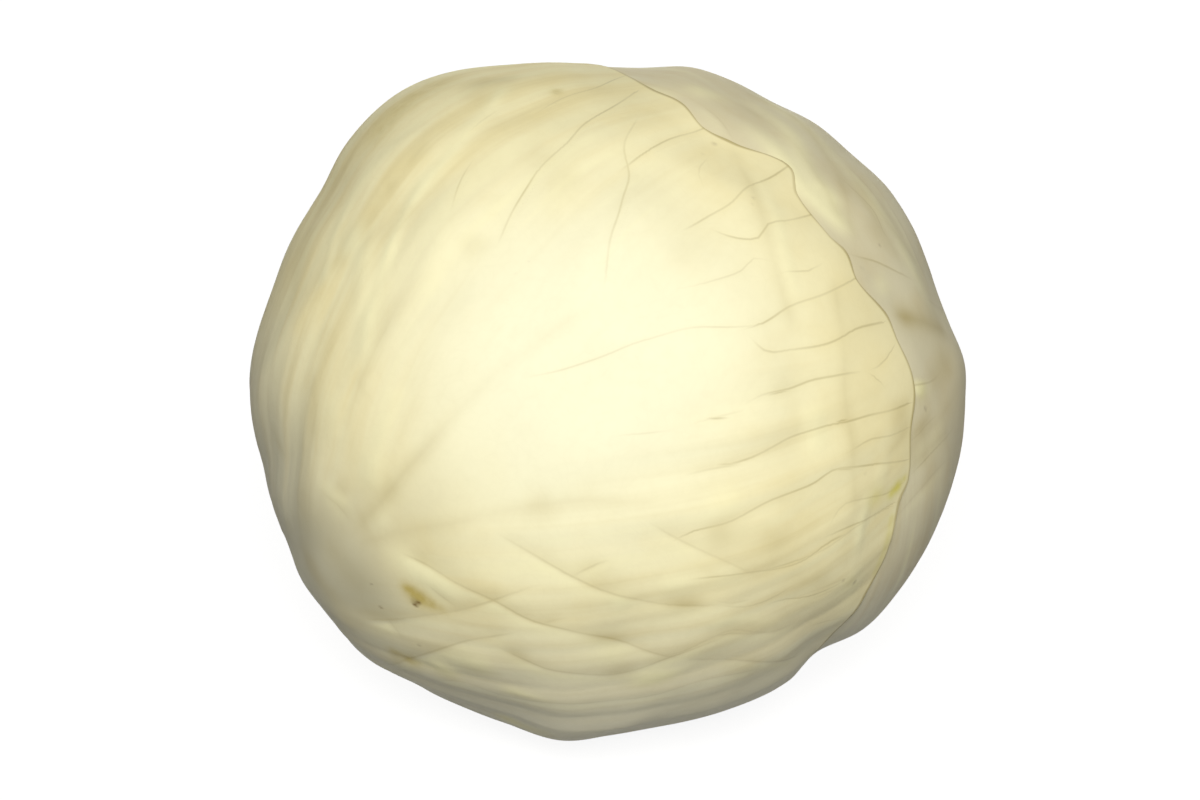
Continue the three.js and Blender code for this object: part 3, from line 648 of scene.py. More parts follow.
def near_path(skin, path, reach):
    """For the skin's points within reach of a path: which they are, their distance, on which
    side of it they lie, and how far along it they are from either end."""
    middle = path.mean(axis=0)
    size = np.linalg.norm(path - middle, axis=1).max() + reach
    near = np.flatnonzero(((skin - middle) ** 2).sum(axis=1) < size * size)
    start, run = path[:-1], np.diff(path, axis=0)
    lengths = np.linalg.norm(run, axis=1)
    before = np.concatenate([[0], np.cumsum(lengths)])
    gap = skin[near, None] - start
    share = np.clip((gap * run).sum(axis=-1) / lengths ** 2, 0, 1)
    gap -= share[..., None] * run
    distances = np.sqrt((gap * gap).sum(axis=-1))
    best = distances.argmin(axis=1)
    rows = np.arange(len(near))
    distance = distances[rows, best]
    kept = distance < reach
    sideways = (np.cross(run, start)[best] * gap[rows, best]).sum(axis=-1)
    along = before[best] + share[rows, best] * lengths[best]
    found = near[kept], distance[kept], np.sign(sideways[kept]), along[kept]
    return *found, before[-1]


def fading(along, length, ends):
    """One along a line, falling softly to nought at those of its ends that fade."""
    reach = min(END_TAPER, 0.45 * length)
    first = smooth_step(along, 0, reach) if ends[0] else 1.0
    last = smooth_step(length - along, 0, reach) if ends[1] else 1.0
    return first * last


def pick_group(path, groups):
    """The first group whose lines all stay clear of this path, or else the clearest one."""
    spaces = []
    for lines in groups:
        space = FAR
        for other in lines:
            gaps = np.linalg.norm(path[:, None] - other[None], axis=-1)
            space = min(space, gaps.min())
        spaces.append(space)
        if space > GROUP_SPACE:
            break
    return int(np.argmax(spaces))


def profile(distance, look, reach):
    """How a line's relief falls off across it: a bell curve, or for a sharp one an exponential
    fall, rounded at its middle and brought down to nought at its reach."""
    if not look["sharp"]:
        return np.exp(-(distance / look["width"]) ** 2)
    rounded = np.hypot(distance, CREASE_ROUNDING) - CREASE_ROUNDING
    last = math.exp(-reach / look["width"])
    return np.maximum(np.exp(-rounded / look["width"]) - last, 0) / (1 - last)


def strips(distance, side, look):
    """How strongly a line darkens the skin and makes it paler: both by the same bell curve, or
    for a sharp one on its left and on its right, falling off as the square of what is left of
    the reach. The paling is painted light; the darkening is painted shade for creases and the
    soft dark marks, and a tint for the other lines."""
    if not look["sharp"]:
        bell = np.exp(-(distance / (1.25 * look["width"])) ** 2)
        return bell, bell
    fall = np.clip(1 - distance / STRIP_REACH, 0, 1) ** 2
    rightward = side * distance
    return fall * (1 - smooth_step(rightward, -0.3, 1.3)), fall * smooth_step(rightward, 0.3, 2)


def draw_lines(ways, form, lines):
    """What a leaf's lines do to its skin: how far they raise it, how much they darken it (a tint
    along veins, hairs and bands, painted shade for creases and the soft dark marks) and make it
    paler (painted light along creases, ridges and folds), and for each group the signed
    distance, strength and half width of the nearest fine line."""
    skin = ways * MEAN_RADIUS
    stray = [ripples(skin, WANDER_LENGTH, seed) for seed in (31, 32, 33)]
    skin = skin + LINE_WANDER * np.stack(stray, axis=1)
    relief, shade, pale = np.zeros((3, len(ways)))
    fine = np.zeros((LINE_GROUPS, len(ways), 3))
    fine[:, :, 0] = FAR
    fine[:, :, 2] = 1.0
    groups = [[] for _ in range(LINE_GROUPS)]
    for number, (kind, strength, line_ways) in enumerate(lines):
        look = KINDS[kind]
        path = smooth_path(line_ways)
        at_edge = form.outside(unit(path[[0, -1]])) > -EDGE_REACH
        ends = (not at_edge[0], not at_edge[1])
        reach = STRIP_REACH if look["sharp"] else max(BELL_REACH * look["width"], FINE_REACH)
        rows, distance, side, along, length = near_path(skin, path, reach)
        uneven = 0.75 + 0.25 * np.cos(along / 4.3 + 2 * number + 1.5 * np.sin(along / 9))
        body = strength * fading(along, length, ends) * uneven
        # painted shade and painted light of creases, ridges, folds and the soft dark marks; for veins,
        # hairs and bands the darkening is a tint
        dark, light = strips(distance, side, look)
        relief[rows] += body * look["height"] * profile(distance, look, reach)
        shade[rows] += body * look["shade"] * dark
        pale[rows] += body * look["pale"] * light
        if look["line"] == 0:
            continue
        group = pick_group(path, groups)
        groups[group].append(path)
        marks = fine[group]
        closer = distance < np.minimum(np.abs(marks[rows, 0]), FINE_REACH)
        rows, distance, side, body = rows[closer], distance[closer], side[closer], body[closer]
        marks[rows, 0] = side * distance
        marks[rows, 1] = body * look["line"] * (1 - smooth_step(distance, 1.2, FINE_REACH))
        marks[rows, 2] = look["fine"]
    return relief, shade, pale, fine


def face_lines(lines):
    """Lines given by points of the head's face, as lines given by directions."""
    return [(kind, strength, np.array([face_way(x, y) for x, y in points]))
            for kind, strength, points in lines]


def leaf_veins(form, seed):
    """The veins of one leaf, drawn on the leaf laid flat round its middle (towards its tip,
    towards its side): laterals leave the middle rib at a widening angle, bend towards the
    tip and fork. A line ends where it meets the edge."""
    dice = np.random.default_rng(seed)
    base = -form.lean * MEAN_RADIUS
    lines = []

    def inside(points):
        angle = np.arctan2(points[:, 1], points[:, 0])
        room = np.radians(form.edge(angle)) * MEAN_RADIUS - VEIN_CLEARANCE
        over = np.hypot(points[:, 0], points[:, 1]) > room
        return len(points) if not over.any() else int(over.argmax())

    def walk(kind, strength, start, heading, bend, length):
        steps = max(3, int(length / VEIN_STEP))
        turns = heading + bend * np.linspace(0, 1, steps) ** 1.3
        turns = turns + np.cumsum(dice.normal(0, 0.05, steps))
        moves = np.stack([np.cos(turns), np.sin(turns)], axis=1) * (length / steps)
        points = np.vstack([start, start + np.cumsum(moves, axis=0)])
        points = points[:inside(points)]
        if len(points) > 2:
            lines.append((kind, strength, form.laid_flat(points)))
        return points, turns

    for side in (-1, 1):
        for place in range(LATERALS):
            share = place / (LATERALS - 1)
            start = np.array([base + 16 + 180 * share ** 1.15 + dice.uniform(-4, 4), side * 1.5])
            heading = side * math.radians(24 + 26 * share + dice.uniform(-4, 4))
            bend = side * math.radians(30 - 52 * share)
            length = 132 - 70 * share
            points, turns = walk("vein", 0.75 - 0.2 * share, start, heading, bend, length)
            for fork in range(2, len(points) - 2, 3):
                turn = turns[fork] - side * math.radians(dice.uniform(32, 50))
                walk("hair", dice.uniform(0.35, 0.8), points[fork], turn,
                     side * 0.4, dice.uniform(14, 26))
                if dice.uniform() < 0.45:
                    turn = turns[fork + 1] + side * math.radians(dice.uniform(35, 50))
                    walk("hair", dice.uniform(0.3, 0.6), points[fork + 1], turn,
                         -side * 0.3, dice.uniform(9, 16))
    return lines


def hidden_veins(form, seed):
    """Soft ridges where the veins of the leaf underneath press through: slanting lines that
    cross this leaf's own. As creases and folds they also carry painted shade and painted light."""
    dice = np.random.default_rng(seed)
    lines = []
    for place in range(HIDDEN_VEINS):
        across_leaf = -110 + 21 * place + dice.uniform(-5, 5)
        along = np.linspace(-95, 85, 9)
        slant = across_leaf + 0.55 * (along + 95) - 45
        points = np.stack([along, slant + np.cumsum(dice.normal(0, 1.2, 9))], axis=1)
        kind = "crease" if place % 2 else "fold"
        lines.append((kind, dice.uniform(0.3, 0.7), form.laid_flat(points)))
    return lines


# ------------------------------------------------------------------ leaf meshes


def grid_lines(cells):
    """Places from -1 to 1 along a side of a leaf's grid, the first and last cell narrow."""
    lines = np.linspace(-1, 1, cells + 1)
    lines[1] = -1 + LAST_CELL * 2 / cells
    lines[-2] = 1 - LAST_CELL * 2 / cells
    return lines


def socket_entry(form, angle):
    """How far out from the leaf's middle a line at this angle meets the stem, a little way
    in; a line that misses the stem is never stopped by it."""
    offset = np.angle(np.exp(1j * (angle - math.pi)))
    radius = (STEM_RADIUS - 1.5) / (MEAN_RADIUS - DIMPLE_DEPTH)
    along = np.arctan(math.tan(form.lean) * np.cos(offset)) % math.pi
    nearest = np.arcsin(np.clip(math.sin(form.lean) * np.sin(np.abs(offset)), -1, 1))
    half = np.arccos(np.clip(math.cos(radius) / np.cos(nearest), -1, 1))
    hits = (nearest < radius) & (np.abs(offset) < math.pi / 2)
    return np.where(hits, along - half, math.pi)


def leaf_grid(form, cells):
    """Directions of a leaf's grid. A square of two parameters is drawn into a round one,
    X = u sqrt(1 - v^2/2) and Y = v sqrt(1 - u^2/2), whose angle is the angle round the
    leaf's middle and whose radius goes out to the leaf's edge."""
    u, v = np.meshgrid(grid_lines(cells), grid_lines(cells), indexing="ij")
    x, y = (u * np.sqrt(1 - v * v / 2)).ravel(), (v * np.sqrt(1 - u * u / 2)).ravel()
    share = np.minimum(np.hypot(x, y), 1)
    angle = np.arctan2(y, x)
    edge = np.minimum(np.radians(form.edge(angle)), socket_entry(form, angle))
    edge += edge_ripple(angle)
    broad = np.radians(form.broad_edge(angle))
    mean = float(broad.mean())
    out = share * mean + share ** 2 * (broad - mean) + share ** EDGE_HOLD * (edge - broad)
    return angle, out


def edge_ripple(angle):
    """Small waves along a leaf's edge, with their points outwards."""
    wave = np.abs(np.sin(9.5 * angle + 2.1 * np.sin(2 * angle)))
    fine = np.sin(31 * angle + 3 * np.sin(3 * angle))
    return (0.45 * (0.6 - wave) + 0.12 * fine) / MEAN_RADIUS


def rim_of(cells):
    """The numbers of a square grid's outer points, once round it."""
    side = cells + 1
    number = np.arange(side * side).reshape(side, side)
    return np.concatenate([number[:-1, 0], number[-1, :-1], number[:0:-1, -1], number[0, :0:-1]])


def grid_faces(cells):
    """The quads of a square grid, turned so that their fronts face away from the head."""
    side = cells + 1
    number = np.arange(side * side).reshape(side, side)
    corners = [number[:-1, :-1], number[:-1, 1:], number[1:, 1:], number[1:, :-1]]
    return np.stack([corner.ravel() for corner in corners], axis=1)


def fan_faces(outer, inner, step):
    """Triangles between a ring of points and a coarser ring inside it."""
    count = len(outer)
    faces = []
    ahead = np.roll(outer, -1)
    owner = ((np.arange(count) + step // 2) // step) % len(inner)
    faces.append(np.stack([outer, ahead, inner[owner]], axis=1))
    turn = np.arange(len(inner))
    middle = (turn * step + step - step // 2) % count
    faces.append(np.stack([outer[middle], inner[(turn + 1) % len(inner)], inner], axis=1))
    return np.vstack(faces)


def closed_mesh(name, points, quads, triangles):
    """A smooth-shaded object at the origin from points in the scene."""
    mesh = bpy.data.meshes.new(name)
    loops = np.concatenate([quads.ravel(), triangles.ravel()])
    starts = np.concatenate([np.arange(len(quads)) * 4,
                             len(quads) * 4 + np.arange(len(triangles)) * 3])
    mesh.vertices.add(len(points))
    mesh.vertices.foreach_set("co", points.astype(np.float32).ravel())
    mesh.loops.add(len(loops))
    mesh.loops.foreach_set("vertex_index", loops.astype(np.int32))
    mesh.polygons.add(len(starts))
    mesh.polygons.foreach_set("loop_start", starts.astype(np.int32))
    mesh.update(calc_edges=True)
    mesh.validate()
    mesh.shade_smooth()
    piece = bpy.data.objects.new(name, mesh)
    bpy.context.scene.collection.objects.link(piece)
    return piece


def store(piece, name, values):
    """Keeps three numbers for each point of a mesh under a name that a finish can read."""
    attribute = piece.data.attributes.new(name, "FLOAT_VECTOR", "POINT")
    attribute.data.foreach_set("vector", np.asarray(values, np.float32).ravel())


# Places and distances over which the skin's tone changes. A reach is (fully so up to here, not
# at all from here on).
# painted light: a paler, less yellow pool round the middle of the face
LIGHT_POOL_WAY = face_way(-6, 10)
LIGHT_POOL_REACH = (16, 78)          # round that place the front leaf is paler and less yellow: painted light, a pool where the light meets the face most squarely
LIGHT_POOL_SHARE = 0.75
SMOOTH_REACH = (25, 60)        # and its streaks show less
SMOOTH_SHARE = 0.4             # this share of them stays
PAINTED_SHADE_WAY = face_way(-69, -44)
PAINTED_SHADE_REACH = (8, 42)           # round that place, low on the left where the face turns from the light, painted shade makes the front leaf greyer
STEM_DULL = (45, 115)          # every leaf is duller this near the stem
FLOOR_DULL = (60, 142)         # and this near the place the head rests on
PAINTED_SHADE_FROM_FLOOR = (80, 125)    # painted shade by the stem begins at the first distance from that place, and is full at the second
                               # place, and is full at the second
RIB_TONE_HEIGHT = 2            # a rib that stands this high has its full tone
OUTSIDE_UNIT = 10              # the distance past the edge is kept in this unit


def spot_strengths(ways, spots):
    """How brown, how olive and how yellow the skin is at each point: for each spot, given as
    (which of the three, strength, direction, radius), a bell curve of the distance."""
    strengths = np.zeros((len(ways), 3))
    for colour, strength, way, radius in spots:
        distance = arc(ways, way) * MEAN_RADIUS
        strengths[:, colour] += strength * np.exp(-(distance / radius) ** 2)
    return strengths


def leaf_tones(ways, is_front):
    """How dull the skin is at each point, how much painted shade greys it, and how strong the
    painted pool of paler, less yellow light is there.
    """
    from_stem = arc(ways, STEM_WAY) * MEAN_RADIUS
    from_floor = arc(ways, DOWN) * MEAN_RADIUS
    by_stem = 1 - smooth_step(from_stem, *STEM_DULL)
    dull = np.maximum(by_stem, 1 - smooth_step(from_floor, *FLOOR_DULL))
    # painted shade: greyer round the stem's hollow, kept off the part by the floor
    painted_grey_shade = by_stem * smooth_step(from_floor, *PAINTED_SHADE_FROM_FLOOR)
    if not is_front:
        return dull, painted_grey_shade, np.zeros(len(ways))
    # painted shade on the lower left of the face, where it turns from the light
    painted_grey_shade = np.maximum(painted_grey_shade, 1 - smooth_step(arc(ways, PAINTED_SHADE_WAY) * MEAN_RADIUS, *PAINTED_SHADE_REACH))
    # the painted pool of light in the middle of the face
    painted_light_pool = 1 - smooth_step(arc(ways, LIGHT_POOL_WAY) * MEAN_RADIUS, *LIGHT_POOL_REACH)
    return dull, painted_grey_shade, LIGHT_POOL_SHARE * painted_light_pool


def leaf_faces(cells):
    """The quads and triangles of a leaf's shell: its upper grid, a strip from there to the
    middle of its rim, its coarser underside, and triangles between those two."""
    rim = rim_of(cells)
    coarse_cells = cells // UNDERSIDE_STEP
    mid_rim = (cells + 1) ** 2 + np.arange(len(rim))
    first_below = (cells + 1) ** 2 + len(rim)
    ahead = np.roll(np.arange(len(rim)), -1)
    quads = np.vstack([
        grid_faces(cells),
        np.stack([rim, rim[ahead], mid_rim[ahead], mid_rim], axis=1),
        first_below + grid_faces(coarse_cells)[:, ::-1],
    ])
    return quads, fan_faces(mid_rim, first_below + rim_of(coarse_cells), UNDERSIDE_STEP)


def make_leaf(name, lines, spots, seed):
    """One leaf as a closed shell: a fine grid above, a coarser one below, and a rounded rim
    between them. Returns the object."""
    form = forms[name]
    cells = GRID_CELLS[name]
    is_front = name == "leaf_front"
    angle, out = leaf_grid(form, cells)
    side = cells + 1
    rim = rim_of(cells)
    below = np.arange(side * side).reshape(side, side)[::UNDERSIDE_STEP, ::UNDERSIDE_STEP].ravel()
    ways = np.concatenate([
        form.ways(angle, out),
        form.ways(angle[rim], out[rim] + EDGE_ROUNDING / MEAN_RADIUS),
        form.ways(angle[below], out[below]),
    ])
    height = np.repeat([1.0, 0.5, 0.0], [side * side, len(rim), len(below)])
    layers = layers_at(ways, name)
    waves = undulation(ways)
    shift, resting = press(ways, layers["outer"] + waves)
    relief, shade, pale, fine = draw_lines(ways, form, lines)
    line, plain = form.fan(ways)
    if is_front:
        off_middle = smooth_step(arc(ways, LIGHT_POOL_WAY) * MEAN_RADIUS, *SMOOTH_REACH)
        plain = plain * (SMOOTH_SHARE + (1 - SMOOTH_SHARE) * off_middle)
    relief += fan_ridges(ways, line, plain, seed)
    thickness = layers["top"] - layers["under"]
    radius = layers["under"] + height * (thickness + relief * (1 - resting)) + waves - shift
    points = in_scene(ways * radius[:, None])
    piece = closed_mesh(name + "_skin", points, *leaf_faces(cells))

    rib = np.clip((thickness - BLADE) / RIB_TONE_HEIGHT, 0, 1)
    dull, painted_grey_shade, painted_light_pool = leaf_tones(ways, is_front)
    # fan: the lines' place, how plainly they show and the distance past the edge; tone: the lines'
    # darkening, partly painted shade, the rib and the painted pool of light; dull: dullness, the
    # painted shade by the stem and the lines' painted light
    store(piece, "fan", np.stack([line, plain, form.outside(ways) / OUTSIDE_UNIT], axis=1))
    store(piece, "tone", np.stack([shade, rib, painted_light_pool], axis=1))
    store(piece, "dull", np.stack([dull, painted_grey_shade, pale], axis=1))
    store(piece, "marks", spot_strengths(ways, spots))
    for group in range(LINE_GROUPS):
        store(piece, f"line_{group}", fine[group])
    return piece


# ------------------------------------------------------------------ the stem

STEM_ROUND = 144         # points round the stump
CUT_DISH = 0.9           # how far the middle of the cut face lies below its rim
FIBRE_RING = 10          # radius of the ring of fibres, how far it stands up, and its width
FIBRE_RISE = 0.35
FIBRE_WIDTH = 0.9


def make_stem():
    """The cut stump: a section carried round the stem's direction, wavy round its side, with
    a dished cut face that stands up a little at its rim and round its ring of fibres."""
    base = float(head_radius(STEM_WAY))
    foot, face = base - STEM_BURIED, base + RIB_HEIGHT + STEM_PROUD
    cut = [(r, face - CUT_DISH + CUT_DISH * (r / STEM_RADIUS) ** 4
            + FIBRE_RISE * math.exp(-((r - FIBRE_RING) / FIBRE_WIDTH) ** 2))
           for r in np.linspace(0.35, STEM_RADIUS - 0.5, 34)]
    side = [(STEM_RADIUS - 0.2, face - 0.12), (STEM_RADIUS, face - 0.45), (STEM_RADIUS, face - 1)]
    side += [(STEM_RADIUS, height) for height in np.linspace(face - 2, foot + 2, 22)]
    under = [(STEM_RADIUS - 0.6, foot + 0.5), (STEM_RADIUS - 2, foot), (5, foot), (1, foot)]
    section = np.array(cut + side + under)
    turn = np.arange(STEM_ROUND) * (2 * math.pi / STEM_ROUND)
    radius, height = section[:, 0, None], section[:, 1, None]
    flutes = 0.35 * np.sin(5 * turn + 0.6) + 0.2 * np.sin(8 * turn + 2) + 0.12 * np.sin(13 * turn)
    radius = radius * (1 + flutes / STEM_RADIUS * smooth_step(radius, 4, STEM_RADIUS))
    x, y = radius * np.cos(turn), radius * np.sin(turn)
    flat = np.stack([x, y, np.broadcast_to(height, x.shape)], axis=-1).reshape(-1, 3)
    top = flat[:, 2] > face - 1.5
    flat[:, 2] += np.where(top, 0.1 * ripples(flat * [1, 1, 0], 2.6, seed=11), 0)
    flat = np.vstack([[[0, 0, face - 0.95]], flat, [[0, 0, foot]]])
    first = unit(np.cross(STEM_WAY, [0, 0, 1]))
    second = np.cross(STEM_WAY, first)
    points = flat[:, :1] * first + flat[:, 1:2] * second + flat[:, 2:] * STEM_WAY

    rings = len(section)
    number = 1 + np.arange(rings * STEM_ROUND).reshape(rings, STEM_ROUND)
    ahead = np.roll(number, -1, axis=1)
    quads = np.stack([number[:-1], number[1:], ahead[1:], ahead[:-1]], axis=-1).reshape(-1, 4)
    top_cap = np.stack([np.zeros(STEM_ROUND, int), number[0], ahead[0]], axis=1)
    last = np.full(STEM_ROUND, len(flat) - 1)
    foot_cap = np.stack([last, ahead[-1], number[-1]], axis=1)
    piece = closed_mesh("stem_cut", in_scene(points), quads, np.vstack([top_cap, foot_cap]))
    store(piece, "stump", np.stack([flat[:, 0] / STEM_RADIUS, flat[:, 1] / STEM_RADIUS,
                                    (flat[:, 2] - face) / STEM_RADIUS], axis=1))
    return piece


# ------------------------------------------------------------------ shader maths


class Number:
    """A number in a material: Python's arithmetic on it adds Math nodes."""

    def __init__(self, finish, socket):
        self.finish, self.socket = finish, socket

    def math(self, operation, *others, first=None):
        values = [self if first is None else first, *others]
        inputs = dict(enumerate(values))
        return self.finish.add("ShaderNodeMath", {"operation": operation}, inputs)

    def __add__(self, other):
        return self.math("ADD", other)

    __radd__ = __add__

    def __sub__(self, other):
        return self.math("SUBTRACT", other)

    def __rsub__(self, other):
        return self.math("SUBTRACT", self, first=other)

    def __mul__(self, other):
        return self.math("MULTIPLY", other)

    __rmul__ = __mul__

    def __truediv__(self, other):
        return self.math("DIVIDE", other)

    def size(self):
        return self.math("ABSOLUTE")

    def largest(self, other):
        return self.math("MAXIMUM", other)

    def step(self, low, high, start=0.0, end=1.0):
        """start up to low, end from high on, and a smooth step between."""
        return self.finish.add("ShaderNodeMapRange", {"interpolation_type": "SMOOTHSTEP"},
                               {0: self, 1: low, 2: high, 3: start, 4: end})


class Finish:
    """The nodes of one material, or of the world."""

    def __init__(self, owner):
        self.owner = owner
        owner.use_nodes = True
        self.tree = owner.node_tree
        self.tree.nodes.clear()

    def node(self, kind, settings, inputs):
        """A node with its settings made first, then its sockets' values or links."""
        node = self.tree.nodes.new(kind)
        for name, value in settings.items():
            setattr(node, name, value)
        for name, value in inputs.items():
            if isinstance(value, Number):
                self.tree.links.new(value.socket, node.inputs[name])
            else:
                node.inputs[name].default_value = value
        return node

    def add(self, kind, settings, inputs, output=0):
        return Number(self, self.node(kind, settings, inputs).outputs[output])

    def place(self):
        """Object coordinates, in metres."""
        return self.add("ShaderNodeTexCoord", {}, {}, output="Object")

    def stored(self, name):
        """The three numbers kept for each point under a name."""
        vector = self.add("ShaderNodeAttribute", {"attribute_name": name}, {}, output="Vector")
        split = self.node("ShaderNodeSeparateXYZ", {}, {0: vector})
        return vector, *[Number(self, output) for output in split.outputs]

    def vector(self, operation, *values):
        return self.add("ShaderNodeVectorMath", {"operation": operation}, dict(enumerate(values)))

    def noise(self, place, scale, detail, roughness):
        inputs = {"Vector": place, "Scale": scale, "Detail": detail, "Roughness": roughness}
        return self.add("ShaderNodeTexNoise", {}, inputs)

    def blend(self, share, low, high):
        """A colour between two, by a share from nought to one."""
        settings = {"data_type": "RGBA", "clamp_factor": True}
        return self.add("ShaderNodeMix", settings, {0: share, 6: low, 7: high}, output=2)

    def bump(self, strength, distance, height):
        """The direction of a surface that a height tilts."""
        inputs = {"Strength": strength, "Distance": distance, "Height": height}
        return self.add("ShaderNodeBump", {}, inputs, "Normal")

    def end(self, shader, kind="ShaderNodeOutputMaterial"):
        """Shows a shader as the surface. Returns what the nodes belong to."""
        output = self.tree.nodes.new(kind)
        self.tree.links.new(shader.outputs[0], output.inputs["Surface"])
        return self.owner

    def surface(self, **inputs):
        """Ends the material in a Principled shader."""
        names = {name.replace("_", " ").title().replace("Ior", "IOR"): value
                 for name, value in inputs.items()}
        return self.end(self.node("ShaderNodeBsdfPrincipled", {}, names))


def new_finish(name):
    """The nodes of a new material."""
    return Finish(bpy.data.materials.new(name))


def tone(red, green, blue):
    """A colour written in display values of 0 to 255."""
    def linear(value):
        value /= 255
        return value / 12.92 if value <= 0.04045 else ((value + 0.055) / 1.055) ** 2.4
    return linear(red), linear(green), linear(blue), 1.0


# ------------------------------------------------------------------ finishes

CREAM = tone(253, 245, 199)
WARM_CREAM = tone(248, 235, 180)
# the colour of the painted pool of light
PAINTED_LIGHT_LEMON = tone(245, 245, 217)
# paler streaks, and the painted light along lines
STREAK_CREAM_AND_PAINTED_LIGHT = tone(255, 249, 202)
RIB_WHITE = tone(241, 237, 208)
VEIN_OLIVE = tone(184, 170, 114)
SHADE_OLIVE = tone(184, 167, 108)
BUTTER_YELLOW = tone(232, 222, 120)
OLIVE_GREEN = tone(202, 184, 110)
DULL_WHITE = tone(244, 242, 224)
# the colour of the painted shade by the stem and on the lower left
PAINTED_SHADE_GREY = tone(176, 170, 140)
MARGIN_TAN = tone(178, 162, 106)
SPOT_BROWN = tone(122, 98, 56)
GREY_CREAM = tone(236, 230, 198)
GREY_WARM = tone(228, 215, 172)


def head_place(finish):
    """Object coordinates drawn out onto a sphere round the middle of the head, in metres, so
    that marks stay the same size whatever the relief."""
    centred = finish.vector("SUBTRACT", finish.place(), tuple(head_middle))
    direction = finish.vector("NORMALIZE", centred)
    return finish.vector("MULTIPLY", direction, (MEAN_RADIUS * METRES,) * 3)


def fine_lines(finish):
    """The fine lines of every group: one on a line's middle, nought past its half width."""
    total = None
    for group in range(LINE_GROUPS):
        _, sideways, strength, half_width = finish.stored(f"line_{group}")
        line = (1 - sideways.size() / half_width).step(0, 1) * strength
        total = line if total is None else total.largest(line)
    return total


def leaf_finish(name, skin, warm, seed):
    """Waxy leaf skin: a mottled cream ground with streaks that fan out from the stem and a
    faint mesh of small veins, paler ribs, olive lines, a tan edge and a few blemishes, with
    painted light and painted shade along creases and folds, a painted pool of light in the
    middle of the face, and painted shade by the stem and on the lower left."""
    finish = new_finish(name)
    place = head_place(finish)
    _, line, plain, outside = finish.stored("fan")
    _, shade, rib, painted_light_pool = finish.stored("tone")
    _, brown, olive, yellow = finish.stored("marks")
    _, dull, painted_grey_shade, pale = finish.stored("dull")
    across_lines = finish.add("ShaderNodeCombineXYZ", {}, {0: line * 10 + seed})
    drawn_out = finish.vector("MULTIPLY", place, (14.0, 14.0, 14.0))
    streak = finish.noise(finish.vector("ADD", across_lines, drawn_out), 1.0, 3.0, 0.6)
    streak = (streak - 0.5) * plain + 0.5
    cloud = finish.noise(place, 26.0 + seed, 3.0, 0.5)
    patches = finish.noise(place, 80.0 + seed, 2.0, 0.5)
    grain = finish.noise(place, 300.0, 2.0, 0.6)
    warped = finish.vector("ADD", place, cloud * 0.03)
    mesh = finish.add("ShaderNodeTexVoronoi", {"feature": "DISTANCE_TO_EDGE"},
                      {"Vector": warped, "Scale": 230.0})
    network = mesh.step(0.0, 0.13, 1.0, 0.0)
    lines = fine_lines(finish)

    warmth = cloud.step(0.3, 0.7) * 0.35 + streak.step(0.4, 0.65) * 0.5
    ground = finish.blend(warmth + patches.step(0.45, 0.7) * 0.25, skin, warm)
    # painted light: the paler, less yellow pool in the middle of the front leaf's face
    ground = finish.blend(painted_light_pool, ground, PAINTED_LIGHT_LEMON)
    ground = finish.blend((1 - streak).step(0.5, 0.66) * 0.4, ground, STREAK_CREAM_AND_PAINTED_LIGHT)
    ground = finish.blend(dull * 0.75, ground, DULL_WHITE)
    # painted shade: greyer by the stem and on the lower left of the face
    ground = finish.blend(painted_grey_shade * 0.6, ground, PAINTED_SHADE_GREY)
    # painted light along creases, ridges and folds
    ground = finish.blend(pale, ground, STREAK_CREAM_AND_PAINTED_LIGHT)
    ground = finish.blend(rib * 0.6, ground, RIB_WHITE)
    ground = finish.blend(network * 0.014, ground, VEIN_OLIVE)
    # the lines' share is a tint along veins, hairs and bands and painted shade for creases and the soft
    # dark marks; grain and streaks add a darker tone of the skin's own
    dark = shade * 1.6 + grain.step(0.35, 0.8) * 0.03 + streak.step(0.5, 0.7) * 0.1
    ground = finish.blend(dark, ground, SHADE_OLIVE)
    ground = finish.blend(lines * 0.62, ground, VEIN_OLIVE)
    margin = outside.step(-0.1, -0.02) * cloud.step(0.35, 0.6, 0.4, 0.75)
    ground = finish.blend(margin, ground, MARGIN_TAN)
    ragged = 0.55 + grain * 0.9
    ground = finish.blend(olive * ragged, ground, OLIVE_GREEN)
    ground = finish.blend(yellow * ragged, ground, BUTTER_YELLOW)
    ground = finish.blend((brown * ragged).step(0.08, 0.9), ground, SPOT_BROWN)

    height = lines * -0.05 + network * -0.015 + grain * 0.1 + streak * 0.2
    rough = 0.58 + (grain - 0.5) * 0.12
    return finish.surface(base_color=ground, roughness=rough,
                          normal=finish.bump(0.5, 0.0006, height), specular_ior_level=0.1)


def stem_finish():
    """The cut stump: pale pith with a ring of fibres, drier and browner towards its rim."""
    finish = new_finish("stem_cut_face")
    stump, _, _, height = finish.stored("stump")
    flat = finish.vector("MULTIPLY", stump, (1.0, 1.0, 0.0))
    out = finish.add("ShaderNodeVectorMath", {"operation": "LENGTH"}, {0: flat}, "Value")
    mottle = finish.noise(stump, 5.0, 5.0, 0.6)
    fibres = finish.noise(finish.vector("MULTIPLY", stump, (22.0, 22.0, 2.0)), 1.0, 3.0, 0.6)
    ring = (out + (mottle - 0.5) * 0.1 - 0.69).size().step(0.0, 0.07, 1.0, 0.0)
    rim = (out + (mottle - 0.5) * 0.12).step(0.82, 1.0)
    pith = finish.blend(mottle.step(0.3, 0.7), tone(226, 218, 178), tone(206, 192, 142))
    pith = finish.blend(fibres.step(0.5, 0.75) * 0.35, pith, tone(176, 156, 104))
    pith = finish.blend(ring * 0.6, pith, tone(170, 148, 96))
    pith = finish.blend(rim * 0.7, pith, tone(150, 124, 76))
    side = height.step(-0.12, -0.04, 1.0, 0.0)
    pith = finish.blend(side * 0.6, pith, tone(204, 202, 150))
    bump = finish.bump(0.6, 0.0005, fibres + mottle * 0.5)
    return finish.surface(base_color=pith, roughness=0.78 - mottle * 0.15, normal=bump,
                          specular_ior_level=0.25)


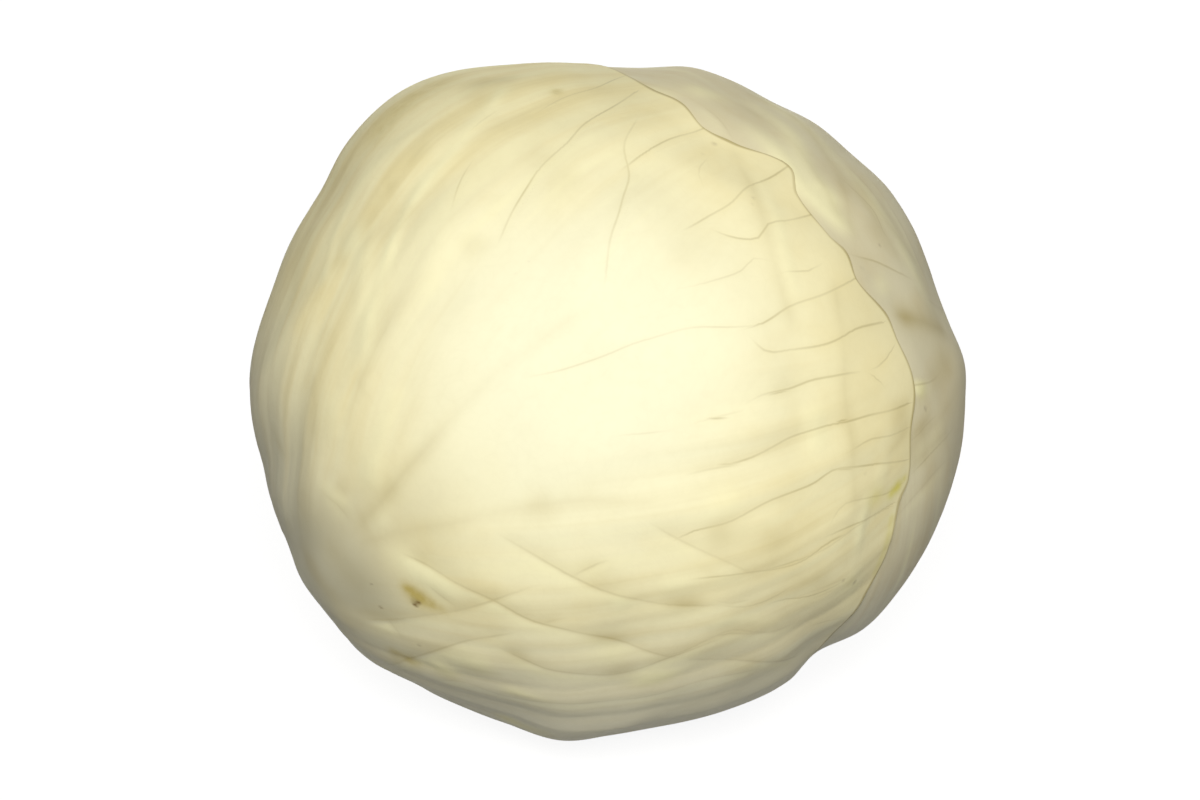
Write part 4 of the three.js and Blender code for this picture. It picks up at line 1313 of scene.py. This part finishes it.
def heart_finish():
    """The tight inner leaves: pale, with soft streaks."""
    finish = new_finish("heart_leaves")
    place = head_place(finish)
    cloud = finish.noise(place, 30.0, 4.0, 0.55)
    colour = finish.blend(cloud.step(0.3, 0.7), tone(246, 240, 206), tone(238, 228, 184))
    return finish.surface(base_color=colour, roughness=0.5,
                          normal=finish.bump(0.3, 0.0006, cloud))


# ------------------------------------------------------------------ the pieces

BROWN, OLIVE, YELLOW = 0, 1, 2
STRAY_SPOTS = 26
PATCH_EVERY = 5          # one stray spot in so many is an olive patch
PATCH_SIZE = 4           # which is so many times as large
FACE_LIMIT = 0.12        # a line that faces more than this forward is on the face's side
STRAY_LIMIT = 0.1        # and a stray spot that does is left out

# Marks on the two leaves that the face shows, as (colour, strength, across, up, radius).
FRONT_SPOTS = [
    (OLIVE, 0.6, -50, -46.5, 1.8), (OLIVE, 0.7, -48, -48.3, 2.8), (OLIVE, 0.7, -45.5, -49.6, 2.6),
    (OLIVE, 0.6, -43, -50.8, 1.6), (OLIVE, 0.4, -40.8, -51.6, 1.4), (BROWN, 0.35, -48.2, -49.6, 1.6),
    (BROWN, 0.7, -47.8, -50.9, 0.8), (BROWN, 0.6, -46.8, -50.3, 0.7), (BROWN, 0.5, -59, -46, 0.7),
    (BROWN, 0.6, -57, -52, 0.8), (BROWN, 0.5, -47, -61, 0.8), (OLIVE, 0.7, -50, -65.5, 2.6),
    (OLIVE, 0.5, -54, -63.5, 2.0), (BROWN, 0.25, -51, -64.5, 1.2), (BROWN, 0.45, 61.5, -45.5, 1.1),
    (BROWN, 0.35, 58, -44.5, 0.9), (OLIVE, 0.2, 60, -45, 2.4), (BROWN, 0.25, 63, -18, 1.0),
    (BROWN, 0.35, 26.5, 64, 1.1), (BROWN, 0.25, 23.5, 61, 0.9), (BROWN, 0.28, 35.5, 49.5, 1.0),
    (BROWN, 0.25, 35.2, 47.8, 0.8), (OLIVE, 0.5, -13, 77.5, 1.7), (BROWN, 0.22, -13, 77, 1.2),
    (BROWN, 0.25, -13, 74.5, 0.8), (BROWN, 0.2, -16, 36, 0.8), (BROWN, 0.2, -19, 33, 0.8),
    (BROWN, 0.24, -22, 30, 0.9), (BROWN, 0.2, -24, 24, 0.8), (YELLOW, 1.0, 72.2, -21.5, 1.7),
    (YELLOW, 0.8, 70.6, -23.2, 1.6), (YELLOW, 0.6, 74, -19.5, 1.0), (YELLOW, 0.3, 66, -24, 3.0),
    (YELLOW, 0.35, 70.9, -29.5, 1.2), (YELLOW, 0.35, 70.6, -31.5, 1.2), (YELLOW, 0.4, 70.2, -33.5, 1.2),
    (YELLOW, 0.4, 69.8, -35.5, 1.2), (YELLOW, 0.4, 69.3, -37.5, 1.2), (YELLOW, 0.35, 68.7, -39.5, 1.2),
    (YELLOW, 0.3, 68.1, -41.5, 1.2), (YELLOW, 0.25, 67.3, -43.5, 1.2), (OLIVE, 0.25, -48, 79, 6),
    (OLIVE, 0.35, -54, 74, 6), (OLIVE, 0.3, -59, 68, 6), (OLIVE, 0.2, -42, 82, 6),
]
RIGHT_SPOTS = [
    (YELLOW, 0.18, 78, 1.5, 2.4), (BROWN, 0.5, 79.5, -2.2, 0.9), (BROWN, 0.3, 75.6, 3.6, 0.9),
    (BROWN, 0.35, 68.5, 39, 0.9), (BROWN, 0.35, 63.5, 33, 0.9),
]


def face_spots(spots):
    """Marks given by points of the head's face, as marks given by directions."""
    return [(colour, strength, face_way(x, y), radius) for colour, strength, x, y, radius in spots]


def stray_spots(form, seed):
    """A few small brown specks and olive patches, anywhere on a leaf off its face side."""
    dice = np.random.default_rng(seed)
    spots = []
    for number in range(STRAY_SPOTS):
        way = form.ways(dice.uniform(-math.pi, math.pi, 1), dice.uniform(0.3, 1.5, 1))[0]
        size, strength = dice.uniform(0.8, 1.5), dice.uniform(0.2, 0.7)
        if way[2] > STRAY_LIMIT:
            continue
        if number % PATCH_EVERY == 0:
            spots.append((OLIVE, strength, way, size * PATCH_SIZE))
        else:
            spots.append((BROWN, strength, way, size))
    return spots


def seen_from_face(ways):
    """Whether most of a line lies on the side whose lines are given one by one."""
    return float(np.mean(ways[:, 2])) > FACE_LIMIT


def lines_of(name, seed):
    """Every line of a leaf: those given one by one on the head's face, and elsewhere its
    veins and those of the leaf beneath."""
    form = forms[name]
    drawn = leaf_veins(form, seed) + hidden_veins(form, seed + 50)
    given = {"leaf_front": FRONT_LINES, "leaf_right": RIGHT_LINES}.get(name)
    if given is None:
        return drawn
    return face_lines(given) + [line for line in drawn if not seen_from_face(line[2])]


def spots_of(name, seed):
    """Every mark of a leaf, given one by one on the head's face and strewn elsewhere."""
    given = {"leaf_front": FRONT_SPOTS, "leaf_right": RIGHT_SPOTS}.get(name, [])
    return face_spots(given) + stray_spots(forms[name], seed)


FINISHES = {
    "leaf_front": leaf_finish("front_leaf_skin", CREAM, WARM_CREAM, 0.0),
    "leaf_right": leaf_finish("right_leaf_skin", GREY_CREAM, GREY_WARM, 3.0),
}
inner_finish = leaf_finish("wrapper_leaf_skin", CREAM, WARM_CREAM, 6.0)

for seed, name in enumerate(forms):
    leaf = make_leaf(name, lines_of(name, 20 + seed), spots_of(name, 60 + seed), 80 + 2 * seed)
    leaf.data.materials.append(FINISHES.get(name, inner_finish))
    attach(leaf, "root")
    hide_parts(name)

stem = make_stem()
stem.data.materials.append(stem_finish())
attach(stem, "root")
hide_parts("stem")

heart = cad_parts["heart"]
heart.data.materials.clear()
heart.data.materials.append(heart_finish())


# ------------------------------------------------------------------ floor, lights and camera

FLOOR_SIZE = 8.0         # metres
FLOOR_ALBEDO = 0.22
FLOOR_GLOW = 0.89        # how bright the floor is where it is seen
WORLD_GREY = (0.045, 0.045, 0.047, 1.0)
WHITE = (1.0, 1.0, 1.0, 1.0)
LAMP_COLOUR = (1.0, 0.985, 0.95)
CAMERA_DISTANCE = 754    # from the middle of the head
CAMERA_ASIDE = -2.0
LENS = 85
SENSOR_WIDTH = 36


def seen_directly(finish):
    """One for what the camera, a reflection or a look through glass sees."""
    path = finish.node("ShaderNodeLightPath", {}, {})
    camera = Number(finish, path.outputs["Is Camera Ray"])
    glossy = Number(finish, path.outputs["Is Glossy Ray"])
    through = Number(finish, path.outputs["Is Transmission Ray"])
    return camera.largest(glossy).largest(through)


def make_floor():
    """A plain pale floor that keeps the head's shadow."""
    half = FLOOR_SIZE / 2
    mesh = bpy.data.meshes.new("floor")
    mesh.from_pydata([(-half, -half, 0), (half, -half, 0), (half, half, 0), (-half, half, 0)],
                     [], [(0, 1, 2, 3)])
    floor = bpy.data.objects.new("floor", mesh)
    bpy.context.scene.collection.objects.link(floor)
    finish = new_finish("floor_white")
    matt = finish.node("ShaderNodeBsdfDiffuse", {}, {"Color": (FLOOR_ALBEDO,) * 3 + (1.0,)})
    glow = finish.node("ShaderNodeEmission", {}, {"Strength": seen_directly(finish) * FLOOR_GLOW})
    both = finish.tree.nodes.new("ShaderNodeAddShader")
    finish.tree.links.new(matt.outputs[0], both.inputs[0])
    finish.tree.links.new(glow.outputs[0], both.inputs[1])
    floor.data.materials.append(finish.end(both))


def aimed(thing, place, target):
    """Stands a lamp or camera at a place, looking at a target."""
    thing.location = place
    thing.rotation_euler = (target - place).to_track_quat("-Z", "Y").to_euler()


def add_lamp(name, place, size, power, glossy=True):
    """A soft square lamp at a place in the head's frame, in millimetres, facing the head. Its
    size is in metres and its power in watts."""
    lamp = bpy.data.lights.new(name, "AREA")
    lamp.size = size
    lamp.energy = power
    lamp.color = LAMP_COLOUR
    holder = bpy.data.objects.new(name, lamp)
    holder.visible_camera = False
    holder.visible_glossy = glossy
    bpy.context.scene.collection.objects.link(holder)
    aimed(holder, Vector(in_scene(np.array(place, float))), head_middle)


def light_world():
    """A low even light from all round, white where it is seen."""
    world = bpy.data.worlds.new("studio")
    bpy.context.scene.world = world
    finish = Finish(world)
    colour = finish.blend(seen_directly(finish), WORLD_GREY, WHITE)
    back = finish.node("ShaderNodeBackground", {}, {"Color": colour, "Strength": 1.0})
    finish.end(back, "ShaderNodeOutputWorld")


def add_camera():
    """The camera square on to the head's face."""
    lens = bpy.data.cameras.new("camera")
    lens.lens = LENS
    lens.sensor_width = SENSOR_WIDTH
    camera = bpy.data.objects.new("camera", lens)
    bpy.context.scene.collection.objects.link(camera)
    turn = Matrix((across, up_face, out_of_face)).transposed()
    camera.rotation_euler = turn.to_euler()
    camera.location = Vector(in_scene(np.array([CAMERA_ASIDE, 0, CAMERA_DISTANCE])))
    bpy.context.scene.camera = camera


make_floor()
light_world()
add_lamp("key", (0, 300, 1420), 0.55, 20.6)
for name, sideways in (("back_left", -250), ("back_right", 250)):
    add_lamp(name, (sideways, 540, -1000), 0.6, 5.0, glossy=False)
add_camera()
bpy.context.scene.view_settings.view_transform = "Standard"
